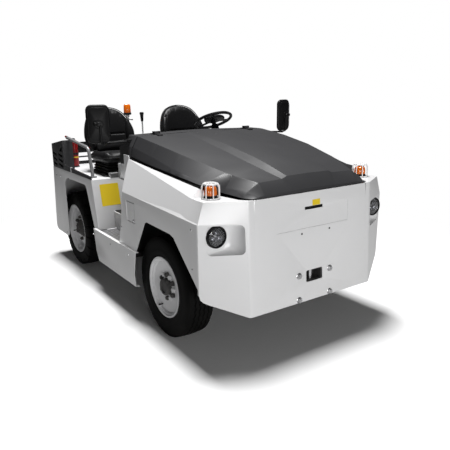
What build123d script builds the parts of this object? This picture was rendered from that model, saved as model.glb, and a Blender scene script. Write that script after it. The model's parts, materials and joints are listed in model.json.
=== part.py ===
# Airport baggage tug: a low tow tractor with two seats, a lifting bonnet and steered front wheels.
# Millimetres. The drawing frame has X forward from the front axle, Y to the vehicle's left, Z up.
# Every piece is moved by SHIFT along X as it is written, so that the origin is the bottom centre.

from build123d import *
import math
import os

os.makedirs("parts", exist_ok=True)

# Driving sizes
WHEELBASE = 1864.0         # front axle to rear axle
TYRE_R = 350.0             # front tyre radius
TYRE_R_REAR = TYRE_R + 5   # rear tyre radius
TYRE_W = 200.0             # tyre width
FRONT_Y = 636.0            # middle of a front tyre from the centre line
REAR_Y = 606.0             # middle of a rear tyre from the centre line
RIM_R = 210.0              # front rim flange radius
RIM_R_REAR = 232.0         # rear rim flange radius
KING_OFFSET = 116.0        # kingpin inboard of the tyre's middle
SIDE_CLEAR = 35.0          # body side outboard of the front tyre
FENDER_CLEAR = 51.0        # fender outboard, and wheel housing inboard, of the rear tyre
HUB_BORE_R = 36.0          # bore of the wheel hubs
RUN_GAP = 0.5              # a pin or stub in its bore
SKIN = 6.0                 # sheet thickness
RAIL_Y = 255.0             # middle of a chassis rail from the centre line
RAIL_W = 60.0              # width of a chassis rail
RAIL_Z = TYRE_R + 55       # underside of the chassis rails
RAIL_H = 100.0             # height of the chassis rails
STEP_Z = TYRE_R + 160      # top of the entry steps
FLOOR_Z = TYRE_R + 300     # cab floor
DECK_Z = TYRE_R + 576      # top of the rear deck
WAIST_Z = TYRE_R + 568     # crease of the body side above the front axle
NOSE_TOP_Z = TYRE_R + 675  # flat tops of the front corners
NOSE_X = 711.0             # front plate, carried down to the ground
NOSE_LEAN = 0.049          # how far the front plate leans back as it rises
NOSE_LOW_Z = TYRE_R - 23   # lower edge of the front plate
CAB_X = -(WHEELBASE + 74) / 3   # rear face of the bulkhead in front of the feet
CAB_Y = 600.0              # outer face of the cab floor's risers
REAR_TIP = 576.0           # rear coupling's end behind the rear axle
SEAT_Y = 385.0             # middle of each seat from the centre line
SEAT_W = 464.0             # width of a seat cushion
PIN_R = 16.0               # coupling pin
BORE_R = 18.0              # coupling bore
FRONT_PIN_Z = TYRE_R + 139 # middle of the front coupling
REAR_PIN_Z = TYRE_R + 80   # middle of the rear coupling
WHEEL_R = 180.0            # steering wheel radius
WHEEL_TILT = 26.0          # steering wheel from level, degrees

KINGPIN_Y = FRONT_Y - KING_OFFSET
SIDE_Y = FRONT_Y + TYRE_W / 2 + SIDE_CLEAR
FENDER_Y = REAR_Y + TYRE_W / 2 + FENDER_CLEAR
HOUSING_Y = REAR_Y - TYRE_W / 2 - FENDER_CLEAR
FRONT_HOUSING_Y = KINGPIN_Y - 194
SKIRT_Y = SIDE_Y + 20
RAIL_TOP = RAIL_Z + RAIL_H
STUB_R = HUB_BORE_R - RUN_GAP
TAIL_X = -WHEELBASE - REAR_TIP
SHIFT = -(TAIL_X + NOSE_X - NOSE_LEAN * NOSE_LOW_Z) / 2
REAR_LOW_Z = TYRE_R_REAR - 87
UNDER_Z = REAR_LOW_Z - 68   # below the whole body, where cuts start
WIDE = SIDE_Y + 230        # past both sides of the body, where cuts end

PARTS = {}


def keep(name, shape):
    PARTS[name] = shape


def box(x0, x1, y0, y1, z0, z1):
    middle = Pos((x0 + x1) / 2, (y0 + y1) / 2, (z0 + z1) / 2)
    return middle * Box(abs(x1 - x0), abs(y1 - y0), abs(z1 - z0))


def cyl(place, axis, r, h):
    turn = {"x": Rot(0, 90, 0), "y": Rot(90, 0, 0), "z": Rot(0, 0, 0)}[axis]
    return Pos(*place) * turn * Cylinder(r, h)


def rod(start, end, r):
    path = Vector(*end) - Vector(*start)
    return Plane(origin=start, z_dir=path) * (Pos(0, 0, path.length / 2) * Cylinder(r, path.length))


def face(pts):
    return make_face(Polyline(*[Vector(*p) for p in pts], close=True))


def side_prism(pts, y0, y1):
    """An outline of (x, z) points carried from y0 to y1."""
    return extrude(face([(x, y0, z) for x, z in pts]), amount=y1 - y0, dir=(0, 1, 0))


def cross_prism(pts, x0, x1):
    """An outline of (y, z) points carried from x0 to x1."""
    return extrude(face([(x0, y, z) for y, z in pts]), amount=x1 - x0, dir=(1, 0, 0))


def mirrored(half):
    """A closed (y, z) outline from the right half, which starts on the centre line."""
    return [(y, z) for y, z in half] + [(-y, z) for y, z in reversed(half[1:])]


def both(shape):
    return shape + mirror(shape, Plane.XZ)


def pair(shape):
    """The piece and its mirror image on the other side."""
    return shape, mirror(shape, Plane.XZ)


def lathe(profile):
    """A ring from (radius, height) points, about Z."""
    return revolve(face([(r, 0, h) for r, h in profile]), axis=Axis.Z)


def nose(back, z=0.0):
    """X of a point that lies back mm behind the leaning front plate at height z."""
    return NOSE_X - NOSE_LEAN * z - back


def aft(x):
    """X of a point given from the rear axle."""
    return x - WHEELBASE


def crease_z(x):
    return WAIST_Z - 0.0327 * x


def lean(x):
    return 0.634 + 0.0000965 * x


def side_y(x, z):
    """The body side above its crease, where it leans in."""
    return SIDE_Y - lean(x) * (z - crease_z(x))


# Front panel: a leaning plate, two angled corners and their flat tops
# z, flat half width inboard of the body side, corner edge from the plate, its distance inboard
NOSE_ROWS = [(NOSE_LOW_Z - 27, 272.0, 163.0, 0.0), (NOSE_TOP_Z - 127, 272.0, 127.0, 0.0),
             (NOSE_TOP_Z, 287.0, 165.0, 84.0)]
# the rounded bend between plate and corner: back, outboard
BEND = [(0.0, -27.0), (4.0, -9.0), (14.0, 7.0)]
NOSE_BACK = 280.0
NOSE_SKIN = 7.0


def nose_section(row, inset):
    z, flat, edge, inboard = row
    half = [(nose(back + inset, z), SIDE_Y - flat + out - 0.35 * inset) for back, out in BEND]
    half.append((nose(edge + 0.9 * inset, z), SIDE_Y - inboard - inset))
    half.append((nose(NOSE_BACK, 0), SIDE_Y - inboard - inset))
    return face([(x, y, z) for x, y in half] + [(x, -y, z) for x, y in reversed(half)])


def nose_body(inset):
    rows = [(row[0] - inset,) + row[1:] for row in NOSE_ROWS]
    return loft([nose_section(row, inset) for row in rows], ruled=True)


nose_outer = nose_body(0.0)
nose_inner = nose_body(NOSE_SKIN)
SEAM_X = nose(181, 0)      # where the front panel meets the side panels
TOP_LIP = 13.0             # height of the corner top's return
panel = nose_outer - nose_inner
panel -= box(0, NOSE_X, -WIDE, WIDE, UNDER_Z, NOSE_LOW_Z)
corner_low = [(SIDE_Y - 272, UNDER_Z), (SIDE_Y - 272, NOSE_LOW_Z), (SIDE_Y - 54, NOSE_LOW_Z + 87),
              (SIDE_Y - 23, NOSE_LOW_Z + 103), (SIDE_Y - 7, NOSE_LOW_Z + 121),
              (SIDE_Y, NOSE_LOW_Z + 147), (SIDE_Y + 20, NOSE_LOW_Z + 147), (SIDE_Y + 20, UNDER_Z)]
panel -= both(cross_prism(corner_low, 0, NOSE_X))
panel -= box(0, SEAM_X, -WIDE, WIDE, UNDER_Z, NOSE_TOP_Z - TOP_LIP)

# the top stays open under the bonnet: x, inboard of the body side
HOOD_PLAN = [(nose(331, 0), 211), (nose(271, 0), 223), (nose(111, 0), 247), (nose(63, 0), 285),
             (nose(53, 0), 371)]
hood_half = [(x, SIDE_Y - y) for x, y in HOOD_PLAN]
hood_line = hood_half + [(x, -y) for x, y in reversed(hood_half)]
hood_hole = face([(x, y, NOSE_TOP_Z - 35) for x, y in hood_line])
panel -= extrude(hood_hole, amount=60, dir=(0, 0, 1))

# a shallow plain recess, the release slot at its top edge and the coupling's window
RECESS_Y, RECESS_DEPTH = 298.0, 3.0
RECESS_LOW, RECESS_TOP = NOSE_TOP_Z - 224, NOSE_TOP_Z - 90
recess_back = [(nose(back, z), z) for back, z in ((RECESS_DEPTH, RECESS_LOW), (RECESS_DEPTH, RECESS_TOP),
                                                  (-30, RECESS_TOP), (-30, RECESS_LOW))]
panel -= side_prism(recess_back, -RECESS_Y, RECESS_Y)
SLOT_Y = 75.0
panel -= box(nose(60, 0), NOSE_X, -SLOT_Y, SLOT_Y, RECESS_TOP - 19, RECESS_TOP + 1)
WINDOW_Y = 70.0
WINDOW_H = 76.0
window = box(nose(90, 0), NOSE_X + 9, -WINDOW_Y, WINDOW_Y,
             FRONT_PIN_Z - WINDOW_H / 2, FRONT_PIN_Z + WINDOW_H / 2)
panel -= fillet(window.edges().filter_by(Axis.X), 10)

# Headlamp bowls: pressed tubs in the angled corners, with a lamp that looks forward and a little out
LAMP_Z = WAIST_Z - 93
LAMP_R = 64.0
LAMP_TURN = 8.0            # degrees outboard
BOWL_SKIN = 4.0


def rounded(y0, y1, z0, z1, r_out, r_in, x):
    """An outline across X: its outboard corners take r_out and its inboard corners r_in."""
    pts = []
    for y, z, r, start in ((y0, z0, r_in, 180), (y1, z0, r_out, 270), (y1, z1, r_out, 0), (y0, z1, r_in, 90)):
        cy = y + r if y == y0 else y - r
        cz = z + r if z == z0 else z - r
        pts += [(cy + r * math.cos(math.radians(start + a)), cz + r * math.sin(math.radians(start + a)))
                for a in (0, 45, 90)]
    return face([(x, y, z) for y, z in pts])


LAMP_PLACE = Pos(nose(114, LAMP_Z), SIDE_Y - 108, LAMP_Z) * Rot(0, 0, LAMP_TURN)


def tub(grow, x_floor):
    floor = rounded(-84 - grow, 72 + grow, -74 - grow, 72 + grow, 22, 46, x_floor)
    mouth = rounded(-150 - grow, 76 + grow, -88 - grow, 86 + grow, 16, 22, 92)
    return LAMP_PLACE * loft([floor, mouth], ruled=True)


hollow = tub(0, 0)
tub_wall = (tub(BOWL_SKIN, -BOWL_SKIN) - hollow) & nose_inner
lamp_face = [(0, -6), (52, -6), (LAMP_R, 8), (LAMP_R, 20), (LAMP_R - 8, 22), (LAMP_R - 10, 16), (0, 10)]
lamp = LAMP_PLACE * Rot(0, 90, 0) * lathe(lamp_face)
tub_wall -= lamp
panel -= both(hollow)
keep("front_panel", panel)
keep("headlamp_bowls", both(tub_wall))
keep("headlamps", both(lamp))

# Turn lamps on the flat corner tops
TURN_X = nose(248, 0)
TURN_Y = SIDE_Y - 141
lens_profile = [(0, 0), (42, 0), (42, 22), (36, 26), (34, 66), (26, 74), (0, 74)]
keep("turn_lamps", both(Pos(TURN_X, TURN_Y, NOSE_TOP_Z) * lathe(lens_profile)))

# A wire cage over each turn lamp: two rings and upright bent wires
WIRE_R, RING_R = 3.0, 3.6
CAGE_R, CAGE_TOP_R, CAGE_H = 52.0, 42.0, 88.0
CAGE_WIRES = 8


def wire_ring(r, z):
    return lathe([(r + RING_R * math.cos(math.radians(a)), z + RING_R * math.sin(math.radians(a)))
                  for a in range(0, 360, 60)])


wire_path = Polyline((CAGE_R, 0, RING_R), (CAGE_R, 0, CAGE_H - 20), (CAGE_TOP_R, 0, CAGE_H))
wire_path = fillet(wire_path.vertices().sort_by(Axis.Z)[1], 10)
wire = sweep(Plane(origin=(CAGE_R, 0, RING_R), z_dir=(0, 0, 1)) * Circle(WIRE_R), path=wire_path)
cage = wire_ring(CAGE_R, RING_R)
for i in range(CAGE_WIRES):
    cage += Rot(0, 0, 360 / CAGE_WIRES * (i + 0.5)) * wire
cage += wire_ring(CAGE_TOP_R, CAGE_H)
keep("lamp_guards", both(Pos(TURN_X, TURN_Y, NOSE_TOP_Z) * cage))

# Chassis: two rails, cross members, wheel housings and the step outriggers
NOSE_BRACKET_Y = 430.0
CROSS_X = nose(121, 0)
OUTRIGGER_X = (CAB_X + 146, aft(804))
rail = box(aft(-361), CROSS_X, RAIL_Y - RAIL_W / 2, RAIL_Y + RAIL_W / 2, RAIL_Z, RAIL_TOP)
frame = both(rail)
frame += box(CROSS_X - 60, CROSS_X, -FRONT_HOUSING_Y, FRONT_HOUSING_Y, RAIL_Z, RAIL_TOP - 35)
bracket = box(CROSS_X, NOSE_X, RAIL_Y - RAIL_W / 2, NOSE_BRACKET_Y, RAIL_Z, RAIL_Z + 215)
frame += both(bracket & nose_inner)
for x in OUTRIGGER_X:
    frame += box(x - 30, x + 30, -CAB_Y, CAB_Y, RAIL_Z + 15, STEP_Z - 30)
    frame += both(box(x - 30, x + 30, CAB_Y, SKIRT_Y - SKIN, RAIL_Z + 25, STEP_Z - 5))
ROOF_Z = TYRE_R + 462
HOUSING_X = CAB_X + 170
housing = box(HOUSING_X + SKIN, nose(151, 0), FRONT_HOUSING_Y, FRONT_HOUSING_Y + SKIN,
              RAIL_Z + 45, NOSE_TOP_Z - 65)
housing += box(HOUSING_X, nose(191, 0), FRONT_HOUSING_Y, SIDE_Y - SKIN, ROOF_Z, ROOF_Z + SKIN)
housing += box(HOUSING_X, HOUSING_X + SKIN, FRONT_HOUSING_Y, SIDE_Y - SKIN, RAIL_Z + 55, ROOF_Z + SKIN)
frame += both(housing)
frame += both(box(aft(-351), aft(664), HOUSING_Y, HOUSING_Y + SKIN, RAIL_TOP, DECK_Z - SKIN))

# Rear body: fenders, leaning front wall, deck and rear wall
WALL_LOW_Z = STEP_Z + 2


def tail_x(z):
    """The outer face of the rear wall, which leans back as it goes down."""
    return aft(-384 - 76 * (DECK_Z - z) / (DECK_Z - REAR_LOW_Z - 47))


def wall_x(z):
    """The outer face of the wall behind the driver's legs."""
    return aft(684 + 94 * (DECK_Z - z) / (DECK_Z - WALL_LOW_Z))


shell_out = [(tail_x(DECK_Z), DECK_Z), (wall_x(DECK_Z), DECK_Z), (wall_x(WALL_LOW_Z), WALL_LOW_Z),
             (wall_x(WALL_LOW_Z), REAR_LOW_Z), (tail_x(REAR_LOW_Z), REAR_LOW_Z)]
shell_in = [(tail_x(DECK_Z) + 14, DECK_Z - SKIN), (wall_x(DECK_Z) - SKIN, DECK_Z - SKIN),
            (wall_x(WALL_LOW_Z) - SKIN, WALL_LOW_Z), (wall_x(WALL_LOW_Z) - SKIN, UNDER_Z),
            (tail_x(UNDER_Z) + 14, UNDER_Z)]
rear_outer = side_prism(shell_out, -FENDER_Y, FENDER_Y)
rear_inner = side_prism(shell_in, -FENDER_Y + SKIN, FENDER_Y - SKIN)
frame += box(tail_x(REAR_LOW_Z), aft(-286), -HOUSING_Y, HOUSING_Y, RAIL_Z, RAIL_TOP + 55) & rear_inner

rear = rear_outer - rear_inner
rear -= box(aft(-51), 0, -WIDE, WIDE, UNDER_Z, WALL_LOW_Z)
ARCH_TOP = DECK_Z - 64
arch = [(aft(672), STEP_Z - 10), (aft(672), STEP_Z + 11), (aft(547), ARCH_TOP - 28),
        (aft(530), ARCH_TOP - 10), (aft(504), ARCH_TOP), (aft(40), ARCH_TOP - 4), (aft(-8), ARCH_TOP - 16),
        (aft(-38), ARCH_TOP - 40), (aft(-51), ARCH_TOP - 72), (aft(-51), STEP_Z - 10)]
rear -= both(side_prism(arch, HOUSING_Y + 15, WIDE))
# the fender's rounded lower corners, as heights above its lower edge
fender_corner = [(-51, 50), (-64, 20), (-96, 4), (-126, 0), (-126, -68), (-51, -68)]
TAIL_EDGE_Z = REAR_LOW_Z + 52
tail_corner = [(tail_x(TAIL_EDGE_Z), TAIL_EDGE_Z), (aft(-448), REAR_LOW_Z + 18), (aft(-406), REAR_LOW_Z),
               (aft(-406), UNDER_Z), (aft(-600), UNDER_Z), (aft(-600), TAIL_EDGE_Z)]
for corner in ([(aft(x), REAR_LOW_Z + z) for x, z in fender_corner], tail_corner):
    rear -= both(side_prism(corner, FENDER_Y - SKIN, WIDE))
WALL_FOOT_X = aft(-336)    # the rear wall's lower edge is cut up behind this
rear -= box(TAIL_X, WALL_FOOT_X, -FENDER_Y + SKIN, FENDER_Y - SKIN, UNDER_Z, TAIL_EDGE_Z)
keep("rear_body", rear)

# Battery: one plain block under the bonnet
keep("battery_block", box(CAB_X + 186, nose(211, 0), -FRONT_HOUSING_Y + 8, FRONT_HOUSING_Y - 8,
                          RAIL_TOP, NOSE_TOP_Z - 40))

# Side panels: a flat lower sheet with the wheel arch, and a sheet that leans in above the crease
PANEL_REAR = CAB_X + 14
SKIRT_TOP = STEP_Z + 20
SLOPE_REAR = CAB_X + 141
FRONT_ARCH = [(-322, SKIRT_TOP), (-160, ROOF_Z - 44), (-125, ROOF_Z - 28), (206, ROOF_Z - 36),
              (250, ROOF_Z - 50), (355, ROOF_Z - 148)]
lower_line = [(CAB_X + 29, SKIRT_TOP)] + FRONT_ARCH
lower_line += [(SEAM_X, SKIRT_TOP - 23), (SEAM_X, crease_z(SEAM_X)), (SLOPE_REAR, crease_z(SLOPE_REAR)),
               (CAB_X + 91, FLOOR_Z + 50)]
side = side_prism(lower_line, SIDE_Y - SKIN, SIDE_Y)


def leaning(x, inset):
    z0 = crease_z(x)
    return [(x, side_y(x, z) - inset, z) for z in (z0, z0 + 260)]


SLOPE_ENDS = (CAB_X - 54, SEAM_X + 40)
slope = loft([face(leaning(x, 0) + list(reversed(leaning(x, 1.17 * SKIN)))) for x in SLOPE_ENDS], ruled=True)
TOP_AT_NOSE = NOSE_TOP_Z + 49
TOP_AT_REAR = NOSE_TOP_Z + 123
upper = [(SLOPE_REAR, crease_z(SLOPE_REAR)), (SEAM_X, crease_z(SEAM_X)), (nose(214, 0), NOSE_TOP_Z),
         (nose(331, 0), NOSE_TOP_Z), (nose(331, 0), TOP_AT_NOSE), (PANEL_REAR, TOP_AT_REAR)]
side += slope & side_prism(upper, CAB_Y - 100, SIDE_Y + 10)
side -= panel
# the return along its rear edge
rear_edge = [(CAB_X + 29, SKIRT_TOP), (CAB_X + 91, FLOOR_Z + 50), (SLOPE_REAR, crease_z(SLOPE_REAR)),
             (PANEL_REAR, TOP_AT_REAR)]
back_edge = [(x - SKIN, z) for x, z in reversed(rear_edge)]
under_slope = loft([face([(x, CAB_Y - 40, RAIL_Z), (x, SIDE_Y, RAIL_Z), (x, SIDE_Y, crease_z(x)),
                          (x, side_y(x, crease_z(x) + 260), crease_z(x) + 260),
                          (x, CAB_Y - 40, crease_z(x) + 260)]) for x in SLOPE_ENDS], ruled=True)
rear_return = side_prism(rear_edge + back_edge, SIDE_Y - 131, SIDE_Y) & under_slope
side += rear_return - box(CAB_X - 154, CAB_X + 46, CAB_Y - 100, SIDE_Y - 55, RAIL_Z, DECK_Z + 24)

# Cowl behind the bonnet, the tab that carries it and the mirror foot
COWL_FRONT = CAB_X + 34
cowl_line = mirrored([(0, 299), (175, 297), (SIDE_Y - 191, 287), (SIDE_Y - 147, 210), (SIDE_Y - 125, 135)])
cowl_line = [(y, NOSE_TOP_Z + z) for y, z in cowl_line]
cowl_core = mirrored([(0, 293), (175, 291), (SIDE_Y - 196, 281), (SIDE_Y - 153, 210), (SIDE_Y - 131, 115)])
cowl_core = [(y, NOSE_TOP_Z + z) for y, z in cowl_core]
cowl_body = cross_prism(cowl_line, COWL_FRONT - 160, COWL_FRONT)
cowl = cowl_body - cross_prism(cowl_core, COWL_FRONT - 200, COWL_FRONT - SKIN)
cowl_cut = [(-254, 375), (-122, 305), (-74, 213), (-6, 163), (0, 75), (-254, 75)]
cowl -= side_prism([(CAB_X + x, NOSE_TOP_Z + z) for x, z in cowl_cut], -WIDE, WIDE)
cowl -= box(COWL_FRONT - 28, COWL_FRONT + 12, -560, 560, NOSE_TOP_Z + 75, NOSE_TOP_Z + 265)
tab_line = [(-76, 147), (8, 147), (24, 121), (44, 119), (44, 96), (8, 96), (-20, 15), (-76, 15)]
tab = side_prism([(CAB_X + x, NOSE_TOP_Z + z) for x, z in tab_line], SIDE_Y - 129, SIDE_Y - 121)
side += tab - cowl_body
left, right = pair(side)

# Charging flap in the right panel, on an upright pin
FLAP_X, FLAP_Z = CAB_X + 203, FLOOR_Z + 88
FLAP_L, FLAP_H, FLAP_GAP = 130.0, 138.0, 5.0
FLAP_PIN_R = 3.0
flap_y = -SIDE_Y
right -= box(FLAP_X - 2 * FLAP_GAP, FLAP_X + FLAP_L + FLAP_GAP, -SIDE_Y - 10, -SIDE_Y + SKIN,
             FLAP_Z - FLAP_GAP, FLAP_Z + FLAP_H + FLAP_GAP)
right += cyl((FLAP_X, flap_y, FLAP_Z + FLAP_H / 2), "z", FLAP_PIN_R, FLAP_H + 2 * FLAP_GAP)
flap = box(FLAP_X, FLAP_X + FLAP_L, -SIDE_Y, -SIDE_Y + SKIN - 1, FLAP_Z, FLAP_Z + FLAP_H)
flap += cyl((FLAP_X, flap_y, FLAP_Z + FLAP_H / 2), "z", FLAP_PIN_R + RUN_GAP + 2, FLAP_H)
flap -= cyl((FLAP_X, flap_y, FLAP_Z + FLAP_H / 2), "z", FLAP_PIN_R + RUN_GAP, FLAP_H + 2)
flap_room = box(FLAP_X - 20, FLAP_X + FLAP_L + 10, -SIDE_Y, -SIDE_Y + 40, FLAP_Z - 10, FLAP_Z + FLAP_H + 10)
frame -= flap_room
keep("chassis_frame", frame)
keep("side_panel_left", left)
keep("side_panel_right", right)
keep("charging_flap", flap)

# Bonnet: a faceted lid with a raised middle. Heights are above NOSE_TOP_Z, the last three
# columns are (inboard of the body side, height).
HOOD = [
    # x, crown, half width of the raised top, of its foot, rise, shoulder, side crease, lower edge
    (CAB_X + 46, 297, 150, 180, 2, (191, 286), (147, 208), (127, 143)),
    (-300, 267, 165, 215, 10, (195, 251), (143, 171), (119, 118)),
    (0, 221, 175, 232, 20, (219, 204), (137, 125), (117, 97)),
    (nose(411), 164, 180, 232, 24, (275, 146), (153, 87), (121, 75)),
    (nose(327), 147, 180, 228, 22, (297, 128), (171, 79), (123, 69)),
    (nose(265), 133, 178, 224, 20, (316, 115), (259, 50), (237, 19)),
    (nose(111), 97, 172, 210, 10, (383, 85), (303, 41), (267, 9)),
    (nose(55), 21, 172, 210, 3, (387, 19), (341, 11), (309, 3)),
]
HOOD_SKIN = 7.0


def hood_section(row, inset, drop):
    x, crown, top_y, foot_y, rise, shoulder, crease, lower = row
    foot = crown - (crown - shoulder[1]) * foot_y / (SIDE_Y - shoulder[0])
    half = [(0, crown + rise), (top_y, crown + rise - 3), (foot_y, foot)]
    half += [(SIDE_Y - y, z) for y, z in (shoulder, crease, lower)]
    half = [(max(y - inset, 0), NOSE_TOP_Z + z - inset) for y, z in half]
    half[-1] = (half[-1][0], half[-1][1] - drop)
    return face([(x, y, z) for y, z in mirrored(half)])


def hood_body(rows, inset, drop):
    return loft([hood_section(row, inset, drop) for row in rows], ruled=True)


inner_rows = [(CAB_X + 26,) + HOOD[0][1:]] + HOOD[1:7] + [(nose(63),) + HOOD[7][1:]]
bonnet = hood_body(HOOD, 0, 0) - hood_body(inner_rows, HOOD_SKIN, 60)

# Hinges: a leaf with two cheeks and a pin on the cowl, a strap with its eye on the bonnet
HINGE_X = COWL_FRONT
HINGE_Z = NOSE_TOP_Z + 306
HINGE_Y, HINGE_HALF = 420.0, 26.0
HINGE_PIN_R, HINGE_EYE_R = 5.0, 10.0
leaf = box(HINGE_X - 56, HINGE_X - 12, HINGE_Y - HINGE_HALF, HINGE_Y + HINGE_HALF, HINGE_Z - 20, HINGE_Z - 8)
for end in (-1, 1):
    y = HINGE_Y + end * HINGE_HALF
    leaf += box(HINGE_X - 20, HINGE_X + 9, y, y - end * 6, HINGE_Z - 20, HINGE_Z + 9)
leaf += cyl((HINGE_X, HINGE_Y, HINGE_Z), "y", HINGE_PIN_R, 2 * HINGE_HALF)
keep("bonnet_hinges", both(leaf - cowl_body))
EYE_HALF = HINGE_HALF - 8
strap = box(HINGE_X + 7, HINGE_X + 70, HINGE_Y - EYE_HALF, HINGE_Y + EYE_HALF, HINGE_Z - 26, HINGE_Z - 10)
strap += box(HINGE_X, HINGE_X + 12, HINGE_Y - EYE_HALF, HINGE_Y + EYE_HALF, HINGE_Z - 10, HINGE_Z - 2)
strap += box(HINGE_X + 5, HINGE_X + 14, HINGE_Y - EYE_HALF, HINGE_Y + EYE_HALF, HINGE_Z - 20, HINGE_Z - 4)
strap += cyl((HINGE_X, HINGE_Y, HINGE_Z), "y", HINGE_EYE_R, 2 * EYE_HALF)
strap -= cyl((HINGE_X, HINGE_Y, HINGE_Z), "y", HINGE_PIN_R + RUN_GAP, 2 * HINGE_HALF)
bonnet += both(strap)
keep("bonnet", bonnet)

# Rubber seal: strips on the side panels' top edges and a band on the front panel's lip
# x, inboard of the body side, height above NOSE_TOP_Z
SEAL_LINE = [(CAB_X + 46, 135, 121), (-300, 128, 99), (0, 125, 78), (nose(411), 127, 56),
             (nose(333), 129, 49)]
seal = None
for start, end in zip(SEAL_LINE[:-1], SEAL_LINE[1:]):
    ends = []
    for x, inboard, height in (start, end):
        y = SIDE_Y - inboard
        z = NOSE_TOP_Z + height
        ends.append(face([(x, y - 9, z - 8), (x, y + 40, z - 8), (x, y + 5, z + 15), (x, y - 9, z + 15)]))
    piece = loft(ends, ruled=True)
    seal = piece if seal is None else seal + piece
seal = (seal & under_slope) - left
band_in = [(x - 12, y - 12) for x, y in hood_half]
band_line = hood_line + [(x, -y) for x, y in band_in] + list(reversed(band_in))
band = extrude(face([(x, y, NOSE_TOP_Z - 20) for x, y in band_line]), amount=17, dir=(0, 0, 1))
keep("bonnet_seal", both(seal) + band)
keep("cowl", cowl)

# Dash: dark fascia above, light support below
FASCIA_LOW = FLOOR_Z + 426
tilt = math.radians(WHEEL_TILT)
axle_dir = Vector(-math.sin(tilt), 0, math.cos(tilt))
wheel_centre = Vector(CAB_X - 404, SEAT_Y - 12, FLOOR_Z + 720)


def along(t):
    """A point on the steering axis, t mm above the wheel's middle."""
    return tuple(wheel_centre + axle_dir * t)


fascia_line = [(-96, 224), (-284, 130), (-290, 0), (-54, 0), (6, 104), (4, 214)]
fascia_in = [(-96, 218), (-278, 126), (-284, 6), (-44, 6), (46, 104), (46, 211)]
fascia = side_prism([(CAB_X + x, FASCIA_LOW + z) for x, z in fascia_line], -CAB_Y + 10, CAB_Y - 10)
fascia -= side_prism([(CAB_X + x, FASCIA_LOW + z) for x, z in fascia_in], -CAB_Y + 16, CAB_Y - 16)
fascia -= cowl
COLUMN_R, SHAFT_R = 34.0, 12.0
fascia -= rod(along(-300), along(0), COLUMN_R)
keep("dash_fascia", fascia)
DASH_LOW = FLOOR_Z + 300
DASH_BACK = CAB_X - 320
support = box(DASH_BACK, DASH_BACK + SKIN, -CAB_Y, CAB_Y, DASH_LOW, FASCIA_LOW)
support += both(box(DASH_BACK, CAB_X + SKIN, CAB_Y - SKIN, CAB_Y, DASH_LOW, FASCIA_LOW))
support += box(DASH_BACK, CAB_X, -CAB_Y, CAB_Y, DASH_LOW, DASH_LOW + SKIN)
support += both(box(CAB_X, CAB_X + SKIN, CAB_Y - 40, SIDE_Y - SKIN, STEP_Z - 5, DASH_LOW))
support += box(CAB_X, CAB_X + SKIN, -CAB_Y, CAB_Y, FLOOR_Z - 10, DASH_LOW + SKIN)
keep("dash_support", support - left - right)

# Cab floor with its risers, the mat and the entry steps
FLOOR_REAR = wall_x(FLOOR_Z) - 20
floor = box(FLOOR_REAR, CAB_X, -CAB_Y, CAB_Y, FLOOR_Z - SKIN, FLOOR_Z)
floor += both(box(FLOOR_REAR, CAB_X, CAB_Y - SKIN, CAB_Y, STEP_Z - 30, FLOOR_Z))
keep("cab_floor", floor - rear_outer)
keep("floor_mat", box(FLOOR_REAR, CAB_X, -CAB_Y + 8, CAB_Y - 8, FLOOR_Z, FLOOR_Z + 6) - rear_outer)
keep("step_plates", both(box(wall_x(WALL_LOW_Z), CAB_X, CAB_Y, SKIRT_Y - SKIN, STEP_Z - 5, STEP_Z)))

# Skirts below the steps
skirt_line = [(-26, 0), (0, 0), (0, -180), (-15, -278), (-51, -286), (-51, -280), (-21, -272), (-6, -178),
              (-6, -6), (-26, -6)]
skirt = cross_prism([(SKIRT_Y + y, SKIRT_TOP + z) for y, z in skirt_line], wall_x(WALL_LOW_Z) - 32, -280)
skirt_front = [(-290, 10), (-334, -180), (-362, -330), (-200, -330), (-200, 10)]
skirt -= side_prism([(x, SKIRT_TOP + z) for x, z in skirt_front], CAB_Y, WIDE)
skirt_rear = [(-32, 10), (-2, -180), (8, -330), (-114, -330), (-114, 10)]
skirt -= side_prism([(wall_x(WALL_LOW_Z) + x, SKIRT_TOP + z) for x, z in skirt_rear], CAB_Y, WIDE)
keep("side_skirts", both(skirt))

# Tail boxes with slots, and the low strips along the deck edge
BOX_IN = FENDER_Y - 97
tail_line = [(-378, 0), (-375, 222), (-21, 276), (-16, 0)]
core_line = [(-372, -20), (-369, 217), (-25, 270), (-22, -20)]
tail = side_prism([(aft(x), DECK_Z + z) for x, z in tail_line], BOX_IN, FENDER_Y)
tail -= side_prism([(aft(x), DECK_Z + z) for x, z in core_line], BOX_IN + SKIN, FENDER_Y - SKIN)
SLOT_ROWS, SLOT_PITCH, SLOT_TOP = 3, 48.0, 122.0
# front end, rear end and rise of each column of slots
SLOT_COLUMNS = [(-350, -242), (-188, -60)]
for k in range(SLOT_ROWS):
    z = DECK_Z + SLOT_TOP - SLOT_PITCH * k
    for x0, x1 in SLOT_COLUMNS:
        slot = [(aft(x0), z + 10), (aft(x1), z - 12), (aft(x1 + 10), z + 10), (aft(x0 + 10), z + 26)]
        tail -= side_prism(slot, FENDER_Y - 17, FENDER_Y + 13)
top_slot = [(-156, 168), (-58, 168), (-58, 224)]
tail -= side_prism([(aft(x), DECK_Z + z) for x, z in top_slot], FENDER_Y - 17, FENDER_Y + 13)
strip_line = [(-20, 0), (-20, 50), (678, 26), (684, 0)]
strip = side_prism([(aft(x), DECK_Z + z) for x, z in strip_line], FENDER_Y - 10, FENDER_Y)
keep("tail_boxes", both(tail + strip))

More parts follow.
